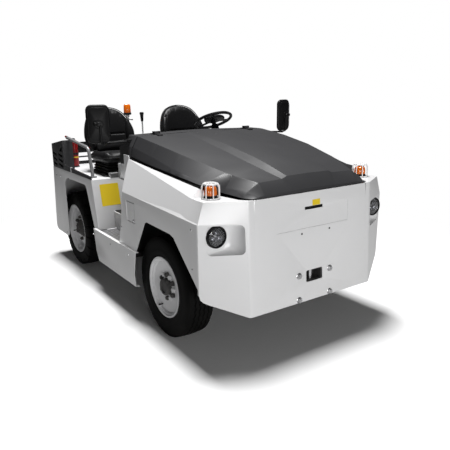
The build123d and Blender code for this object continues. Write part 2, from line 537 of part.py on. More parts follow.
# Grab rails
GRAB_R = 14.0
GRAB_Y = FENDER_Y - 57
rail_points = [Vector(aft(-36), GRAB_Y, DECK_Z + 296), Vector(aft(512), GRAB_Y, DECK_Z + 246),
               Vector(aft(574), GRAB_Y, DECK_Z + 8)]
rail_path = Polyline(*rail_points)
rail_path = fillet(rail_path.vertices().sort_by_distance(rail_points[1])[0], 60)
rail_face = Plane(origin=rail_points[0], z_dir=rail_points[1] - rail_points[0]) * Circle(GRAB_R)
grab = sweep(rail_face, path=rail_path) + cyl((aft(574), GRAB_Y, DECK_Z + 5), "z", 34, 10)
keep("grab_rails", both(grab - tail))

# Rear guard with the lamp post and the lamp
GUARD_X = aft(-342)
GUARD_Z = DECK_Z + 222
guard = box(GUARD_X, GUARD_X + SKIN, -BOX_IN, BOX_IN, DECK_Z, GUARD_Z)
guard += box(GUARD_X, GUARD_X + 26, -BOX_IN, BOX_IN, GUARD_Z - 8, GUARD_Z)
for y in (-430, 0, 430):
    for z in (32, 80):
        guard -= box(GUARD_X - 20, GUARD_X + 10, y - 195, y + 195, DECK_Z + z, DECK_Z + z + 34)
POST_X, POST_Y = GUARD_X + 13, 44.0
POST_R, POST_H = 12.0, 259.0
LAMP_PLATE = 10.0          # thickness of the plate that carries the lamp
guard += rod((POST_X, POST_Y, GUARD_Z - 8), (POST_X, POST_Y, GUARD_Z + POST_H - LAMP_PLATE / 2), POST_R)
guard += cyl((POST_X, POST_Y, GUARD_Z + POST_H - LAMP_PLATE / 2), "z", 40, LAMP_PLATE)
keep("rear_guard", guard)
beacon_profile = [(0, 0), (39, 0), (39, 6), (36, 8), (33, 90), (26, 98), (0, 98)]
keep("beacon_lens", Pos(POST_X, POST_Y, GUARD_Z + POST_H) * lathe(beacon_profile))

# Seat bases and seats
BASE_H = 114.0
SEAT_REAR, SEAT_FRONT = aft(209), aft(657)
BASE_IN, BASE_OUT = SEAT_Y - SEAT_W / 2, SEAT_Y + SEAT_W / 2


def base_section(z, x0, x1, y0, y1):
    return face([(x0, y0, z), (x1, y0, z), (x1, y1, z), (x0, y1, z)])


base_low = base_section(DECK_Z, SEAT_REAR, SEAT_FRONT, BASE_IN - 3, BASE_OUT - 37)
base_top = base_section(DECK_Z + BASE_H, SEAT_REAR + 15, SEAT_FRONT - 18, BASE_IN + 12, BASE_OUT - 17)
keep("seat_bases", both(loft([base_low, base_top], ruled=True)))

SEAT_Z = DECK_Z + BASE_H
cushion = box(aft(224), aft(654), SEAT_Y - SEAT_W / 2, SEAT_Y + SEAT_W / 2, SEAT_Z, SEAT_Z + 82)
cushion = chamfer(cushion.edges(), 16)
# distance inboard of the cushion's side and height above its underside, up one side of the back
BACK_LINE = [(82, 65), (17, 110), (-6, 170), (-6, 240), (18, 320), (56, 385), (122, 435), (192, 454)]
# x at the back's foot, share of the full width
BACK_ROWS = [(174, 0.94), (192, 1.0), (242, 1.0), (258, 0.94)]
BACK_LEAN = 0.24


def back_section(x, share):
    half = [((SEAT_W / 2 - inboard) * share, h - 65) for inboard, h in BACK_LINE]
    line = half + [(-w, h) for w, h in reversed(half)]
    return face([(aft(x) - BACK_LEAN * h, SEAT_Y + w, SEAT_Z + 65 + h * share) for w, h in line])


back = loft([back_section(*row) for row in BACK_ROWS], ruled=True)
# the raised side wings in three rows: x, distance inboard, height above the cushion's underside
WING_ROWS = [((224, 42, 90), (304, 10, 100), (264, -4, 90)),
             ((184, 52, 210), (284, 6, 200), (224, -6, 210)),
             ((164, 52, 310), (196, 26, 305), (180, 18, 310))]


def wing_section(row, side_sign):
    return face([(aft(x), SEAT_Y + side_sign * (SEAT_W / 2 - w), SEAT_Z + z) for x, w, z in row])


for side_sign in (-1, 1):
    back += loft([wing_section(row, side_sign) for row in WING_ROWS], ruled=True)
keep("seats", both(cushion + back))

# Hitch release lever between the seats
LEVER_X = aft(129)
lever = rod((LEVER_X, 0, DECK_Z + 6), (LEVER_X - 15, 0, DECK_Z + 426), 7)
lever += Pos(LEVER_X - 16, 0, DECK_Z + 425) * lathe([(0, 0), (15, 0), (21, 70), (14, 84), (0, 84)])
lever += cyl((LEVER_X, 0, DECK_Z + 6), "z", 26, 12)
keep("hitch_lever", lever)

# Steering column and wheel: the wheel's shaft turns in the column
column = rod(along(-235), along(-52), COLUMN_R) + rod(along(-60), along(-40), 24)
column -= rod(along(-110), along(-30), SHAFT_R + RUN_GAP)
keep("steering_column", column)
wheel_plane = Plane(origin=along(0), x_dir=(math.cos(tilt), 0, math.sin(tilt)), z_dir=axle_dir)
GRIP_R = 13.0
grip = [(WHEEL_R - GRIP_R + GRIP_R * math.cos(math.radians(22.5 + 45 * i)),
         GRIP_R * math.sin(math.radians(22.5 + 45 * i))) for i in range(8)]
steering = lathe(grip) + Cylinder(38, 26) + Pos(0, 0, -22) * Cylinder(20, 30)
steering += Pos(0, 0, -60) * Cylinder(SHAFT_R, 80)
for a in (90, 210, 330):
    steering += Rot(0, 0, a) * (Pos(WHEEL_R / 2 + 8, 0, -2) * Box(WHEEL_R - 42, 26, 10))
keep("steering_wheel", wheel_plane * steering)

# Mirrors on arms from the cowl
MIRROR_Y = SIDE_Y + 87
MIRROR_Z = NOSE_TOP_Z + 391
MIRROR_W, MIRROR_H, MIRROR_CORNER = 178.0, 284.0, 34.0
MIRROR_X = CAB_X - 4
foot = box(CAB_X - 66, CAB_X - 26, SIDE_Y - 191, SIDE_Y - 131, MIRROR_Z - 176, MIRROR_Z - 132)
arm = rod((CAB_X - 44, SIDE_Y - 171, MIRROR_Z - 154), (MIRROR_X, SIDE_Y - 116, MIRROR_Z - 138), 8)
arm += rod((MIRROR_X, SIDE_Y - 119, MIRROR_Z - 138), (MIRROR_X + 32, MIRROR_Y, MIRROR_Z - 144), 8)
arm += rod((MIRROR_X + 32, MIRROR_Y, MIRROR_Z - 152), (MIRROR_X + 38, MIRROR_Y, MIRROR_Z), 8)
MIRROR_TURN = 15.0         # degrees towards the seats
head_place = Pos(MIRROR_X, MIRROR_Y, MIRROR_Z) * Rot(0, 0, MIRROR_TURN)
head = fillet(Box(46, MIRROR_W, MIRROR_H).edges().filter_by(Axis.X), MIRROR_CORNER)
head -= Pos(-20, 0, 0) * Box(6, MIRROR_W - 18, MIRROR_H - 20)
head += Pos(34, 0, 0) * Rot(0, 90, 0) * Cylinder(17, 30)
keep("mirrors", both((arm + foot - cowl_body) + head_place * head))
glass = fillet(Box(4, MIRROR_W - 20, MIRROR_H - 22).edges().filter_by(Axis.X), MIRROR_CORNER - 8)
keep("mirror_glasses", both(head_place * Pos(-19.2, 0, 0) * glass))

# Front coupling: a casting behind the window with an upright pin
FRONT_PIN_X = nose(47, FRONT_PIN_Z)
CASTING_TOP = FRONT_PIN_Z + 86
casting = box(CROSS_X + 2, nose(14, FRONT_PIN_Z), -120, 120, FRONT_PIN_Z - 89, CASTING_TOP)
casting -= box(CROSS_X + 10, NOSE_X, -WINDOW_Y + 4, WINDOW_Y - 4, FRONT_PIN_Z - 36, FRONT_PIN_Z + 36)
casting += box(CROSS_X, CROSS_X + 10, -150, 150, RAIL_Z, FRONT_PIN_Z + 71)
casting -= cyl((FRONT_PIN_X, 0, FRONT_PIN_Z), "z", BORE_R, 300)
keep("front_coupling", casting)
pin = cyl((FRONT_PIN_X, 0, CASTING_TOP - 98), "z", PIN_R, 200)
pin += cyl((FRONT_PIN_X, 0, CASTING_TOP + 6), "z", 26, 12)
keep("coupling_pin", pin)

# Rear coupling: two drilled plates on the rear wall
REAR_PIN_X = TAIL_X + 45
PLATE_GAP, PLATE_T = 88.0, 26.0
FLANGE_LOW, FLANGE_TOP = REAR_PIN_Z - 90, REAR_PIN_Z + 90
flange = side_prism([(tail_x(FLANGE_TOP), FLANGE_TOP), (tail_x(FLANGE_LOW), FLANGE_LOW),
                     (TAIL_X + 95, FLANGE_LOW), (TAIL_X + 95, FLANGE_TOP)], -130, 130)
plate = box(TAIL_X, TAIL_X + 97, -60, 60, REAR_PIN_Z + PLATE_GAP / 2, REAR_PIN_Z + PLATE_GAP / 2 + PLATE_T)
plate = fillet(plate.edges().filter_by(Axis.Z).group_by(Axis.X)[0], 30)
jaw = flange + plate + Pos(0, 0, -PLATE_GAP - PLATE_T) * plate
jaw -= cyl((REAR_PIN_X, 0, REAR_PIN_Z), "z", BORE_R, 300)
keep("rear_coupling", jaw)

# Rear lamps on the rear wall
rear_lamps = None
for z in (DECK_Z - 286, DECK_Z - 166):
    lens = Pos(tail_x(z) - 4, FENDER_Y - 117, z) * Rot(0, 90, 0) * Cylinder(48, 32) - rear_outer
    rear_lamps = lens if rear_lamps is None else rear_lamps + lens
keep("tail_lamps", both(rear_lamps))

# Front axle and the steered knuckles
EYE_T, EYE_REACH = 26.0, 108.0
KING_R, BARREL_R = 24.0, 36.0
beam = box(-45, 45, -KINGPIN_Y + 50, KINGPIN_Y - 50, TYRE_R - 32, TYRE_R + 32)
beam += both(box(-42, 42, KINGPIN_Y - 80, KINGPIN_Y - 46, TYRE_R - EYE_REACH, TYRE_R + EYE_REACH))
for z in (TYRE_R - EYE_REACH, TYRE_R + EYE_REACH - EYE_T):
    beam += both(box(-42, 42, KINGPIN_Y - 58, KINGPIN_Y + 40, z, z + EYE_T))
beam += both(box(-60, 60, RAIL_Y - RAIL_W / 2, RAIL_Y + RAIL_W / 2, TYRE_R + 20, RAIL_Z))
beam -= both(cyl((0, KINGPIN_Y, TYRE_R), "z", KING_R, 300))
keep("front_axle", beam)
STUB_END = 174.0
knuckle = cyl((0, KINGPIN_Y, TYRE_R), "z", KING_R - RUN_GAP, 2 * EYE_REACH + 10)
knuckle += cyl((0, KINGPIN_Y, TYRE_R), "z", BARREL_R, 2 * (EYE_REACH - EYE_T - RUN_GAP))
knuckle += cyl((0, KINGPIN_Y + STUB_END / 2, TYRE_R), "y", STUB_R, STUB_END)
knuckle_left, knuckle_right = pair(knuckle)
keep("steering_knuckle_left", knuckle_left)
keep("steering_knuckle_right", knuckle_right)

# Rear axle housing with its round middle
TUBE_END = REAR_Y - 116
tube = [(45, 150), (45, TUBE_END), (0, TUBE_END)]
housing_line = [(r, -h) for r, h in reversed(tube)] + [(120, -95), (148, -40), (148, 40), (120, 95)] + tube
housing = Pos(aft(0), 0, TYRE_R_REAR) * Rot(90, 0, 0) * lathe(housing_line)
housing += both(cyl((aft(0), REAR_Y - 60, TYRE_R_REAR), "y", STUB_R, 128))
housing += both(box(aft(-60), aft(60), RAIL_Y - RAIL_W / 2, RAIL_Y + RAIL_W / 2, TYRE_R_REAR, RAIL_Z))
keep("rear_axle", housing)

# Wheels: pressed rims with their hubs, ribbed tyres in front and lugged tyres behind
NUTS = 6
BEAD = 24.0                # depth of the rim's flange


def rim(r, disc, nut_circle, hub_out):
    w = TYRE_W / 2
    lip, seat = w - 8, w - 20
    ring = [(r, seat + 4), (r, lip), (r - 10, lip), (r - BEAD - 8, seat - 14), (r - BEAD - 20, disc + 14),
            (nut_circle + 26, disc + 4), (80, disc), (80, disc - 10), (nut_circle + 26, disc - 8),
            (r - BEAD - 20, disc - 6), (r - BEAD - 8, -seat + 14), (r - 10, -lip), (r, -lip), (r, -seat - 4),
            (r - BEAD, -seat), (r - BEAD, seat)]
    hub = lathe([(0, disc - 16), (84, disc - 16), (84, disc + 4), (58, disc + 8), (52, disc + hub_out),
                 (0, disc + hub_out)])
    hub -= Pos(0, 0, disc - 16) * Cylinder(HUB_BORE_R, 2 * hub_out + 8)
    nuts = lathe(ring) + hub
    for i in range(NUTS):
        a = math.radians(360 / NUTS * i)
        nut = extrude(RegularPolygon(15, 6), amount=24)
        nuts += Pos(nut_circle * math.cos(a), nut_circle * math.sin(a), disc - 4) * nut
    return nuts


def tyre_body(r, r_in):
    w = TYRE_W / 2
    seat = w - 20
    half = [(r, w - 22), (r - 46, w), (r_in + 26, w - 2), (r_in, seat + 4), (r_in - BEAD, seat)]
    return lathe(half + [(radius, -h) for radius, h in reversed(half)])


LUGS = 20                  # lugs on each side of a rear tyre
LUG_GROOVE = 18.0
LUG_DEPTH = 22.0


def lugged(r, r_in):
    body = tyre_body(r, r_in)
    w = TYRE_W / 2
    for i in range(LUGS):
        for s in (1, -1):
            a = 360 / LUGS * (i + (0.5 if s > 0 else 0.0))
            groove = Pos(r - LUG_DEPTH / 2 + 10, 0, s * (w / 2 + 8)) * Rot(s * 18, 0, 0)
            groove = groove * Rot(0, s * 6, 0) * Box(LUG_DEPTH + 20, LUG_GROOVE, w)
            body -= Rot(0, 0, a) * groove
    return body


# name, x, y, tyre radius, rim radius, disc outboard of the middle, nut circle, hub length
WHEELS = [("front_left", 0, FRONT_Y, TYRE_R, RIM_R, 52, 84, 22),
          ("front_right", 0, -FRONT_Y, TYRE_R, RIM_R, 52, 84, 22),
          ("rear_left", aft(0), REAR_Y, TYRE_R_REAR, RIM_R_REAR, -20, 108, 62),
          ("rear_right", aft(0), -REAR_Y, TYRE_R_REAR, RIM_R_REAR, -20, 108, 62)]
for name, x, y, r, r_in, disc, circle, hub_out in WHEELS:
    place = Pos(x, y, r) * Rot(-90 if y > 0 else 90, 0, 0)
    keep("rim_" + name, place * rim(r_in, disc, circle, hub_out))
    make = tyre_body if x == 0 else lugged
    keep("tyre_" + name, place * make(r, r_in))

# Small hand extinguisher beside the tail box
EXT_X, EXT_Y = aft(-166), -FENDER_Y + 157
bottle = lathe([(0, 0), (34, 0), (34, 44), (30, 44), (30, 190), (12, 200), (12, 214), (0, 214)])
lever_arm = box(EXT_X - 30, EXT_X + 20, EXT_Y - 6, EXT_Y + 6, DECK_Z + 212, DECK_Z + 224)
keep("extinguisher", Pos(EXT_X, EXT_Y, DECK_Z) * bottle + lever_arm)

for name, shape in PARTS.items():
    moved = Pos(SHIFT, 0, 0) * shape
    solids = moved.solids()
    out = solids[0] if len(solids) == 1 else Compound(children=list(solids))
    out.label = name
    export_step(out, "parts/" + name + ".step")
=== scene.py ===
# %% [markdown]
# # Airport baggage tug
# A low electric tow tractor with two seats, a lifting bonnet, steered front wheels and a coupling at
# each end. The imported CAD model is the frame: it fixes every size and every joint. This lesson gives
# it paint, rubber, glass and upholstery, and adds the small parts that catch the eye.

# %% Load the frame
import math

import bmesh
import bpy
import numpy as np
from mathutils import Matrix, Vector
from mathutils.geometry import tessellate_polygon
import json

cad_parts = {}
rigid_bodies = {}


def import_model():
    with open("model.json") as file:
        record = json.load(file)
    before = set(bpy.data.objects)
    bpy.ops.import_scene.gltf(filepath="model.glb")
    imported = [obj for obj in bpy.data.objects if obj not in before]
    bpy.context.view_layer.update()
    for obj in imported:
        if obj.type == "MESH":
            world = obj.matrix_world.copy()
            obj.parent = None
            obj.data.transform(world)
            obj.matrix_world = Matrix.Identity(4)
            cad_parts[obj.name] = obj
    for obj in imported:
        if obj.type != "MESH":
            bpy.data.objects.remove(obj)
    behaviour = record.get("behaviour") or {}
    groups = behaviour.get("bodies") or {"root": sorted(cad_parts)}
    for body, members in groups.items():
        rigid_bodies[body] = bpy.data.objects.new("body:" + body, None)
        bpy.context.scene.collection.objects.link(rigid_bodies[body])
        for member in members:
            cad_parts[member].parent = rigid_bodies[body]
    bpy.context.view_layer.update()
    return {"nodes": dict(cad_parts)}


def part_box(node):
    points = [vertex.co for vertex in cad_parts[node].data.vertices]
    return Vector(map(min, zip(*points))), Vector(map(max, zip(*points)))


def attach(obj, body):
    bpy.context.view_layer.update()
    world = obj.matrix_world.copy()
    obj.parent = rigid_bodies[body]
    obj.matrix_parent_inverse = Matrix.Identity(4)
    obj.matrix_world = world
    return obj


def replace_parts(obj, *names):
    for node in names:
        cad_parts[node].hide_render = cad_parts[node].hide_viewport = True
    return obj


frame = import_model()
NODES = frame["nodes"]
TURN = 2 * math.pi

# %% [markdown]
# ## Sizes that many pieces share
# The real tug is drawn from its front axle. The frame has its origin in the middle of the tug's
# length, so AXLE_X moves a distance from the axle into the frame. Reading places from the frame's
# boxes keeps the added pieces on the CAD pieces that carry them.

# %% Shared sizes
def middle(node):
    low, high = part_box(node)
    return (low + high) / 2


AXLE_X = middle("rim_front_right").x
REAR_X = middle("rim_rear_right").x
SIDE_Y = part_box("side_panel_left")[1].y
FENDER_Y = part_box("rear_body")[1].y
DECK_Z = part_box("rear_body")[1].z
STEP_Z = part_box("step_plates")[1].z
NOSE_LEAN = 0.049
NOSE_X = AXLE_X + 0.711
NOSE_TOP_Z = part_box("turn_lamps")[0].z
print("front axle at x", round(AXLE_X, 4), "rear axle at x", round(REAR_X, 4))

# %% [markdown]
# ## Camera
# The photograph looks down at the right front corner with a normal lens. Its place was worked out
# from known sizes, such as the wheels and the wheelbase. Setting the lens once, before anything is
# modelled, means that every later render can be laid beside the photograph.

# %% Camera
LENS = 40.965
CAMERA_AT = (3.7948, -2.1903, 1.6330)
camera_data = bpy.data.cameras.new("camera")
camera_data.sensor_width = 36.0
camera_data.lens = LENS
camera = bpy.data.objects.new("camera", camera_data)
bpy.context.scene.collection.objects.link(camera)
YAW, PITCH, ROLL = math.radians(146.01), math.radians(-14.76), math.radians(-0.76)
look = Vector((math.cos(PITCH) * math.cos(YAW), math.cos(PITCH) * math.sin(YAW), math.sin(PITCH)))
right = look.cross(Vector((0, 0, 1))).normalized()
over = right.cross(look)
tilted_right = right * math.cos(ROLL) + over * math.sin(ROLL)
tilted_over = over * math.cos(ROLL) - right * math.sin(ROLL)
turned_camera = Matrix((tilted_right, tilted_over, -look)).transposed().to_4x4()
camera.matrix_world = Matrix.Translation(CAMERA_AT) @ turned_camera
bpy.context.scene.camera = camera

# %% [markdown]
# ## Effects that several finishes share
# Real paint is never one flat value. Three small node groups give the changes: grain is the fine
# unevenness of a surface, road dust settles on faces that look up and near the ground, and edge
# wear is the polished line where hands and boots rub. A group is built once, and each material
# places it with its own numbers.

# %% A helper for node groups
def new_group(name, inputs, outputs):
    group = bpy.data.node_groups.new(name, "ShaderNodeTree")
    for label, kind, value in inputs:
        socket = group.interface.new_socket(name=label, in_out="INPUT", socket_type=kind)
        socket.default_value = value
    for label, kind in outputs:
        group.interface.new_socket(name=label, in_out="OUTPUT", socket_type=kind)
    return group, group.nodes.new("NodeGroupInput"), group.nodes.new("NodeGroupOutput")


def math_node(tree, operation, first, second=None, third=None, clamp=False):
    """A Math node. A number goes on its socket, and anything else is linked to it."""
    node = tree.nodes.new("ShaderNodeMath")
    node.operation = operation
    node.use_clamp = clamp
    for socket, value in zip(node.inputs, (first, second, third)):
        if isinstance(value, (int, float)):
            socket.default_value = value
        elif value is not None:
            tree.links.new(value, socket)
    return node.outputs[0]


def mix_node(tree, factor, first, second):
    """A Mix node for colours. A tuple goes on its socket, and anything else is linked to it."""
    node = tree.nodes.new("ShaderNodeMix")
    node.data_type = "RGBA"
    for label, value in (("Factor", factor), ("A", first), ("B", second)):
        if isinstance(value, tuple):
            node.inputs[label].default_value = value
        else:
            tree.links.new(value, node.inputs[label])
    return node.outputs["Result"]


def set_inputs(node, values):
    for label, value in values.items():
        node.inputs[label].default_value = value


def noise_node(tree, scale, detail, rough=0.5):
    """Noise on Object coordinates, so that the pattern stays on the piece."""
    place = tree.nodes.new("ShaderNodeTexCoord")
    noise = tree.nodes.new("ShaderNodeTexNoise")
    noise.inputs["Detail"].default_value = detail
    noise.inputs["Roughness"].default_value = rough
    tree.links.new(place.outputs["Object"], noise.inputs["Vector"])
    if isinstance(scale, (int, float)):
        noise.inputs["Scale"].default_value = scale
    else:
        tree.links.new(scale, noise.inputs["Scale"])
    return noise.outputs["Fac"]


# %% Grain: a fine height and a slow change of roughness
FLOAT, COLOUR = "NodeSocketFloat", "NodeSocketColor"
grain, g_in, g_out = new_group(
    "surface_grain",
    [("Scale", FLOAT, 300.0), ("Roughness", FLOAT, 0.4), ("Change", FLOAT, 0.08)],
    [("Height", FLOAT), ("Roughness", FLOAT)])
fine = noise_node(grain, g_in.outputs["Scale"], 3.0)
slow = noise_node(grain, 3.1, 4.0, 0.6)
grain.links.new(fine, g_out.inputs["Height"])
shift = math_node(grain, "SUBTRACT", slow, 0.5)
shift = math_node(grain, "MULTIPLY", shift, g_in.outputs["Change"])
grain.links.new(math_node(grain, "ADD", shift, g_in.outputs["Roughness"], clamp=True),
                g_out.inputs["Roughness"])

# %% Road dust: more near the ground and on faces that look up, broken by noise
dust, d_in, d_out = new_group(
    "road_dust",
    [("Colour", COLOUR, (0.8, 0.8, 0.8, 1)), ("Dust", COLOUR, (0.35, 0.33, 0.30, 1)),
     ("Amount", FLOAT, 0.2), ("Reach", FLOAT, 0.9)],
    [("Colour", COLOUR), ("Mask", FLOAT)])
place = dust.nodes.new("ShaderNodeTexCoord")
split = dust.nodes.new("ShaderNodeSeparateXYZ")
dust.links.new(place.outputs["Object"], split.inputs[0])
height = math_node(dust, "DIVIDE", split.outputs["Z"], d_in.outputs["Reach"])
low_down = math_node(dust, "SUBTRACT", 1.0, height, clamp=True)
geometry = dust.nodes.new("ShaderNodeNewGeometry")
facing = dust.nodes.new("ShaderNodeSeparateXYZ")
dust.links.new(geometry.outputs["Normal"], facing.inputs[0])
looks_up = math_node(dust, "MULTIPLY", facing.outputs["Z"], 0.35, clamp=True)
lying = math_node(dust, "ADD", low_down, looks_up)
patches = math_node(dust, "MULTIPLY_ADD", noise_node(dust, 7.0, 5.0, 0.62), 1.8, -0.35, clamp=True)
mask = math_node(dust, "MULTIPLY", math_node(dust, "MULTIPLY", lying, patches), d_in.outputs["Amount"],
                 clamp=True)
mixed = mix_node(dust, mask, d_in.outputs["Colour"], d_in.outputs["Dust"])
dust.links.new(mixed, d_out.inputs["Colour"])
dust.links.new(mask, d_out.inputs["Mask"])

# %% Edge wear: the Bevel node's normal leaves the true one near an edge
wear, w_in, w_out = new_group(
    "edge_wear",
    [("Colour", COLOUR, (0.8, 0.8, 0.8, 1)), ("Worn", COLOUR, (0.5, 0.5, 0.5, 1)),
     ("Amount", FLOAT, 0.5)],
    [("Colour", COLOUR), ("Mask", FLOAT)])
rounded = wear.nodes.new("ShaderNodeBevel")
rounded.samples = 3
rounded.inputs["Radius"].default_value = 0.0035
true_normal = wear.nodes.new("ShaderNodeNewGeometry")
dot = wear.nodes.new("ShaderNodeVectorMath")
dot.operation = "DOT_PRODUCT"
wear.links.new(rounded.outputs[0], dot.inputs[0])
wear.links.new(true_normal.outputs["Normal"], dot.inputs[1])
edge = math_node(wear, "MULTIPLY", math_node(wear, "SUBTRACT", 1.0, dot.outputs["Value"]), 6.0, clamp=True)
broken = math_node(wear, "MULTIPLY_ADD", noise_node(wear, 38.0, 4.0, 0.7), 3.4, -1.5, clamp=True)
worn = math_node(wear, "MULTIPLY", math_node(wear, "MULTIPLY", edge, broken), w_in.outputs["Amount"],
                 clamp=True)
mixed = mix_node(wear, worn, w_in.outputs["Colour"], w_in.outputs["Worn"])
wear.links.new(mixed, w_out.inputs["Colour"])
wear.links.new(worn, w_out.inputs["Mask"])

# %% [markdown]
# ## Finishes
# Most of the tug is sprayed sheet steel, and the rest is rubber, moulded plastic, cast iron and
# glass. Each is the same recipe with other numbers: a base colour that dust and wear change, a
# roughness that drifts, and a fine bump. So one function makes them all, and a table holds the
# numbers. Glass and lenses need light to pass through, so they get a recipe of their own.

# %% The recipe for an opaque finish
def finish(name, colour, rough, metal=0.0, grain_size=300.0, bump=0.05, dusty=0.2, reach=0.9,
           worn=None, coat=0.0, change=0.08, depth=0.0004, shine=0.5):
    material = bpy.data.materials.new(name)
    material.use_nodes = True
    tree = material.node_tree
    shader = tree.nodes["Principled BSDF"]
    set_inputs(shader, {"Metallic": metal, "Coat Weight": coat, "Coat Roughness": 0.12,
                        "Specular IOR Level": shine})

    grained = tree.nodes.new("ShaderNodeGroup")
    grained.node_tree = grain
    set_inputs(grained, {"Scale": grain_size, "Roughness": rough, "Change": change})
    raised = tree.nodes.new("ShaderNodeBump")
    set_inputs(raised, {"Strength": bump, "Distance": depth})
    tree.links.new(grained.outputs["Height"], raised.inputs["Height"])
    tree.links.new(raised.outputs["Normal"], shader.inputs["Normal"])

    dusted = tree.nodes.new("ShaderNodeGroup")
    dusted.node_tree = dust
    set_inputs(dusted, {"Colour": (*colour, 1), "Amount": dusty, "Reach": reach})
    tree.links.new(dusted.outputs["Colour"], shader.inputs["Base Color"])
    if worn is not None:
        rubbed = tree.nodes.new("ShaderNodeGroup")
        rubbed.node_tree = wear
        rubbed.inputs["Worn"].default_value = (*worn, 1)
        tree.links.new(dusted.outputs["Colour"], rubbed.inputs["Colour"])
        tree.links.new(rubbed.outputs["Colour"], shader.inputs["Base Color"])
    tree.links.new(math_node(tree, "MULTIPLY_ADD", dusted.outputs["Mask"], 0.35,
                             grained.outputs["Roughness"], clamp=True), shader.inputs["Roughness"])
    return material


GLASS_IOR = 1.45


def clear(name, colour, rough, tint_noise=0.0):
    """Glass or a coloured lens: light passes through, and a slow noise keeps its colour alive."""
    material = bpy.data.materials.new(name)
    material.use_nodes = True
    tree = material.node_tree
    shader = tree.nodes["Principled BSDF"]
    set_inputs(shader, {"Transmission Weight": 1.0, "IOR": GLASS_IOR})
    darker = (*[c * (1 - tint_noise) for c in colour], 1)
    tint = mix_node(tree, noise_node(tree, 25.0, 2.0), (*colour, 1), darker)
    tree.links.new(tint, shader.inputs["Base Color"])
    smear = math_node(tree, "MULTIPLY_ADD", noise_node(tree, 60.0, 3.0), 0.08, rough, clamp=True)
    tree.links.new(smear, shader.inputs["Roughness"])
    return material


# %% The table of finishes
FINISH = {
    "white_paint": finish("white_paint", (0.74, 0.74, 0.745), 0.30, grain_size=420.0, bump=0.10,
                          dusty=0.16, reach=0.75, worn=(0.42, 0.42, 0.43), coat=0.35),
    "dark_paint": finish("dark_paint", (0.030, 0.030, 0.032), 0.50, grain_size=520.0, bump=0.12,
                         dusty=0.03, worn=(0.10, 0.10, 0.10), coat=0.02, change=0.10, shine=0.30),
    "black_paint": finish("black_paint", (0.010, 0.010, 0.0105), 0.42, grain_size=380.0, bump=0.16,
                          dusty=0.15, reach=0.8, worn=(0.05, 0.05, 0.05), shine=0.25),
    "rim_paint": finish("rim_paint", (0.80, 0.80, 0.81), 0.36, grain_size=350.0, bump=0.12,
                        dusty=0.12, reach=0.7, worn=(0.44, 0.44, 0.45), coat=0.15),
    "rubber_black": finish("rubber_black", (0.006, 0.006, 0.006), 0.62, grain_size=650.0, bump=0.35,
                           dusty=0.03, shine=0.15),
    "tyre_black": finish("tyre_black", (0.0032, 0.0032, 0.0032), 0.66, grain_size=420.0, bump=0.40,
                         dusty=0.03, reach=0.45, change=0.16, shine=0.07),
    "plastic_black": finish("plastic_black", (0.007, 0.007, 0.0075), 0.46, grain_size=900.0,
                            bump=0.45, dusty=0.03, worn=(0.03, 0.03, 0.03), shine=0.18),
    "tread_plate": finish("tread_plate", (0.13, 0.13, 0.135), 0.46, metal=0.5, grain_size=500.0,
                          bump=0.20, dusty=0.10, worn=(0.34, 0.34, 0.34)),
    "seat_cover": finish("seat_cover", (0.006, 0.006, 0.0065), 0.44, grain_size=240.0, bump=0.60,
                         dusty=0.01, change=0.14, depth=0.0007, shine=0.22),
    "pin_steel": finish("pin_steel", (0.60, 0.60, 0.61), 0.24, metal=1.0, grain_size=260.0,
                        bump=0.10, dusty=0.10, change=0.16),
    "cast_black": finish("cast_black", (0.022, 0.022, 0.023), 0.58, grain_size=170.0, bump=0.55,
                         dusty=0.40, reach=0.7, worn=(0.10, 0.10, 0.10), depth=0.0008),
    "red_paint": finish("red_paint", (0.24, 0.003, 0.004), 0.38, grain_size=400.0, bump=0.10,
                        dusty=0.0, worn=(0.16, 0.02, 0.02), coat=0.10, shine=0.25),
    "amber_lens": clear("amber_lens", (1.0, 0.26, 0.01), 0.10, tint_noise=0.25),
    "red_lens": clear("red_lens", (0.80, 0.012, 0.010), 0.12, tint_noise=0.20),
    "lamp_glass": clear("lamp_glass", (0.97, 0.98, 1.0), 0.02),
    "mirror_glass": finish("mirror_glass", (0.80, 0.81, 0.83), 0.03, metal=1.0, grain_size=30.0,
                           bump=0.01, dusty=0.04, change=0.02),
}
YELLOW = finish("sticker_yellow", (0.80, 0.58, 0.015), 0.38, grain_size=700.0, bump=0.06, dusty=0.10)
PLAIN_WHITE = finish("sticker_white", (0.75, 0.76, 0.75), 0.34, grain_size=700.0, bump=0.05, dusty=0.08)
slot_of = {name: node.data.materials[0].name for name, node in NODES.items()}
for name, node in NODES.items():
    node.material_slots[0].material = FINISH[slot_of[name]]
print("finishes:", len(FINISH))

# %% [markdown]
# ## Shapes as grids of points
# A surface is a function of two parameters, so its points fill a table of rows and columns, and
# four neighbours make a face. A shape here is a pair: its points, and its faces as lists of point
# numbers. Shapes are joined, moved and mirrored as whole arrays, and only then become an object.

# %% Faces of a grid, and a piece from shapes
def grid_faces(rows, columns, round_rows=False, round_columns=False):
    """Each direction of the grid may join its end to its start."""
    r, c = np.meshgrid(np.arange(rows if round_rows else rows - 1),
                       np.arange(columns if round_columns else columns - 1), indexing="ij")
    r1, c1 = (r + 1) % rows, (c + 1) % columns
    corners = [r * columns + c, r * columns + c1, r1 * columns + c1, r1 * columns + c]
    return np.stack([k.ravel() for k in corners], 1).tolist()


def joined(*shapes):
    points, faces, start = [], [], 0
    for p, f in shapes:
        points.append(np.asarray(p, float).reshape(-1, 3))
        faces += [[start + k for k in face] for face in f]
        start += len(points[-1])
    return np.concatenate(points), faces


def moved(shape, at=(0, 0, 0), turn=None):
    points = np.asarray(shape[0], float)
    if turn is not None:
        points = points @ np.asarray(turn, float).T
    return points + np.asarray(at, float), shape[1]


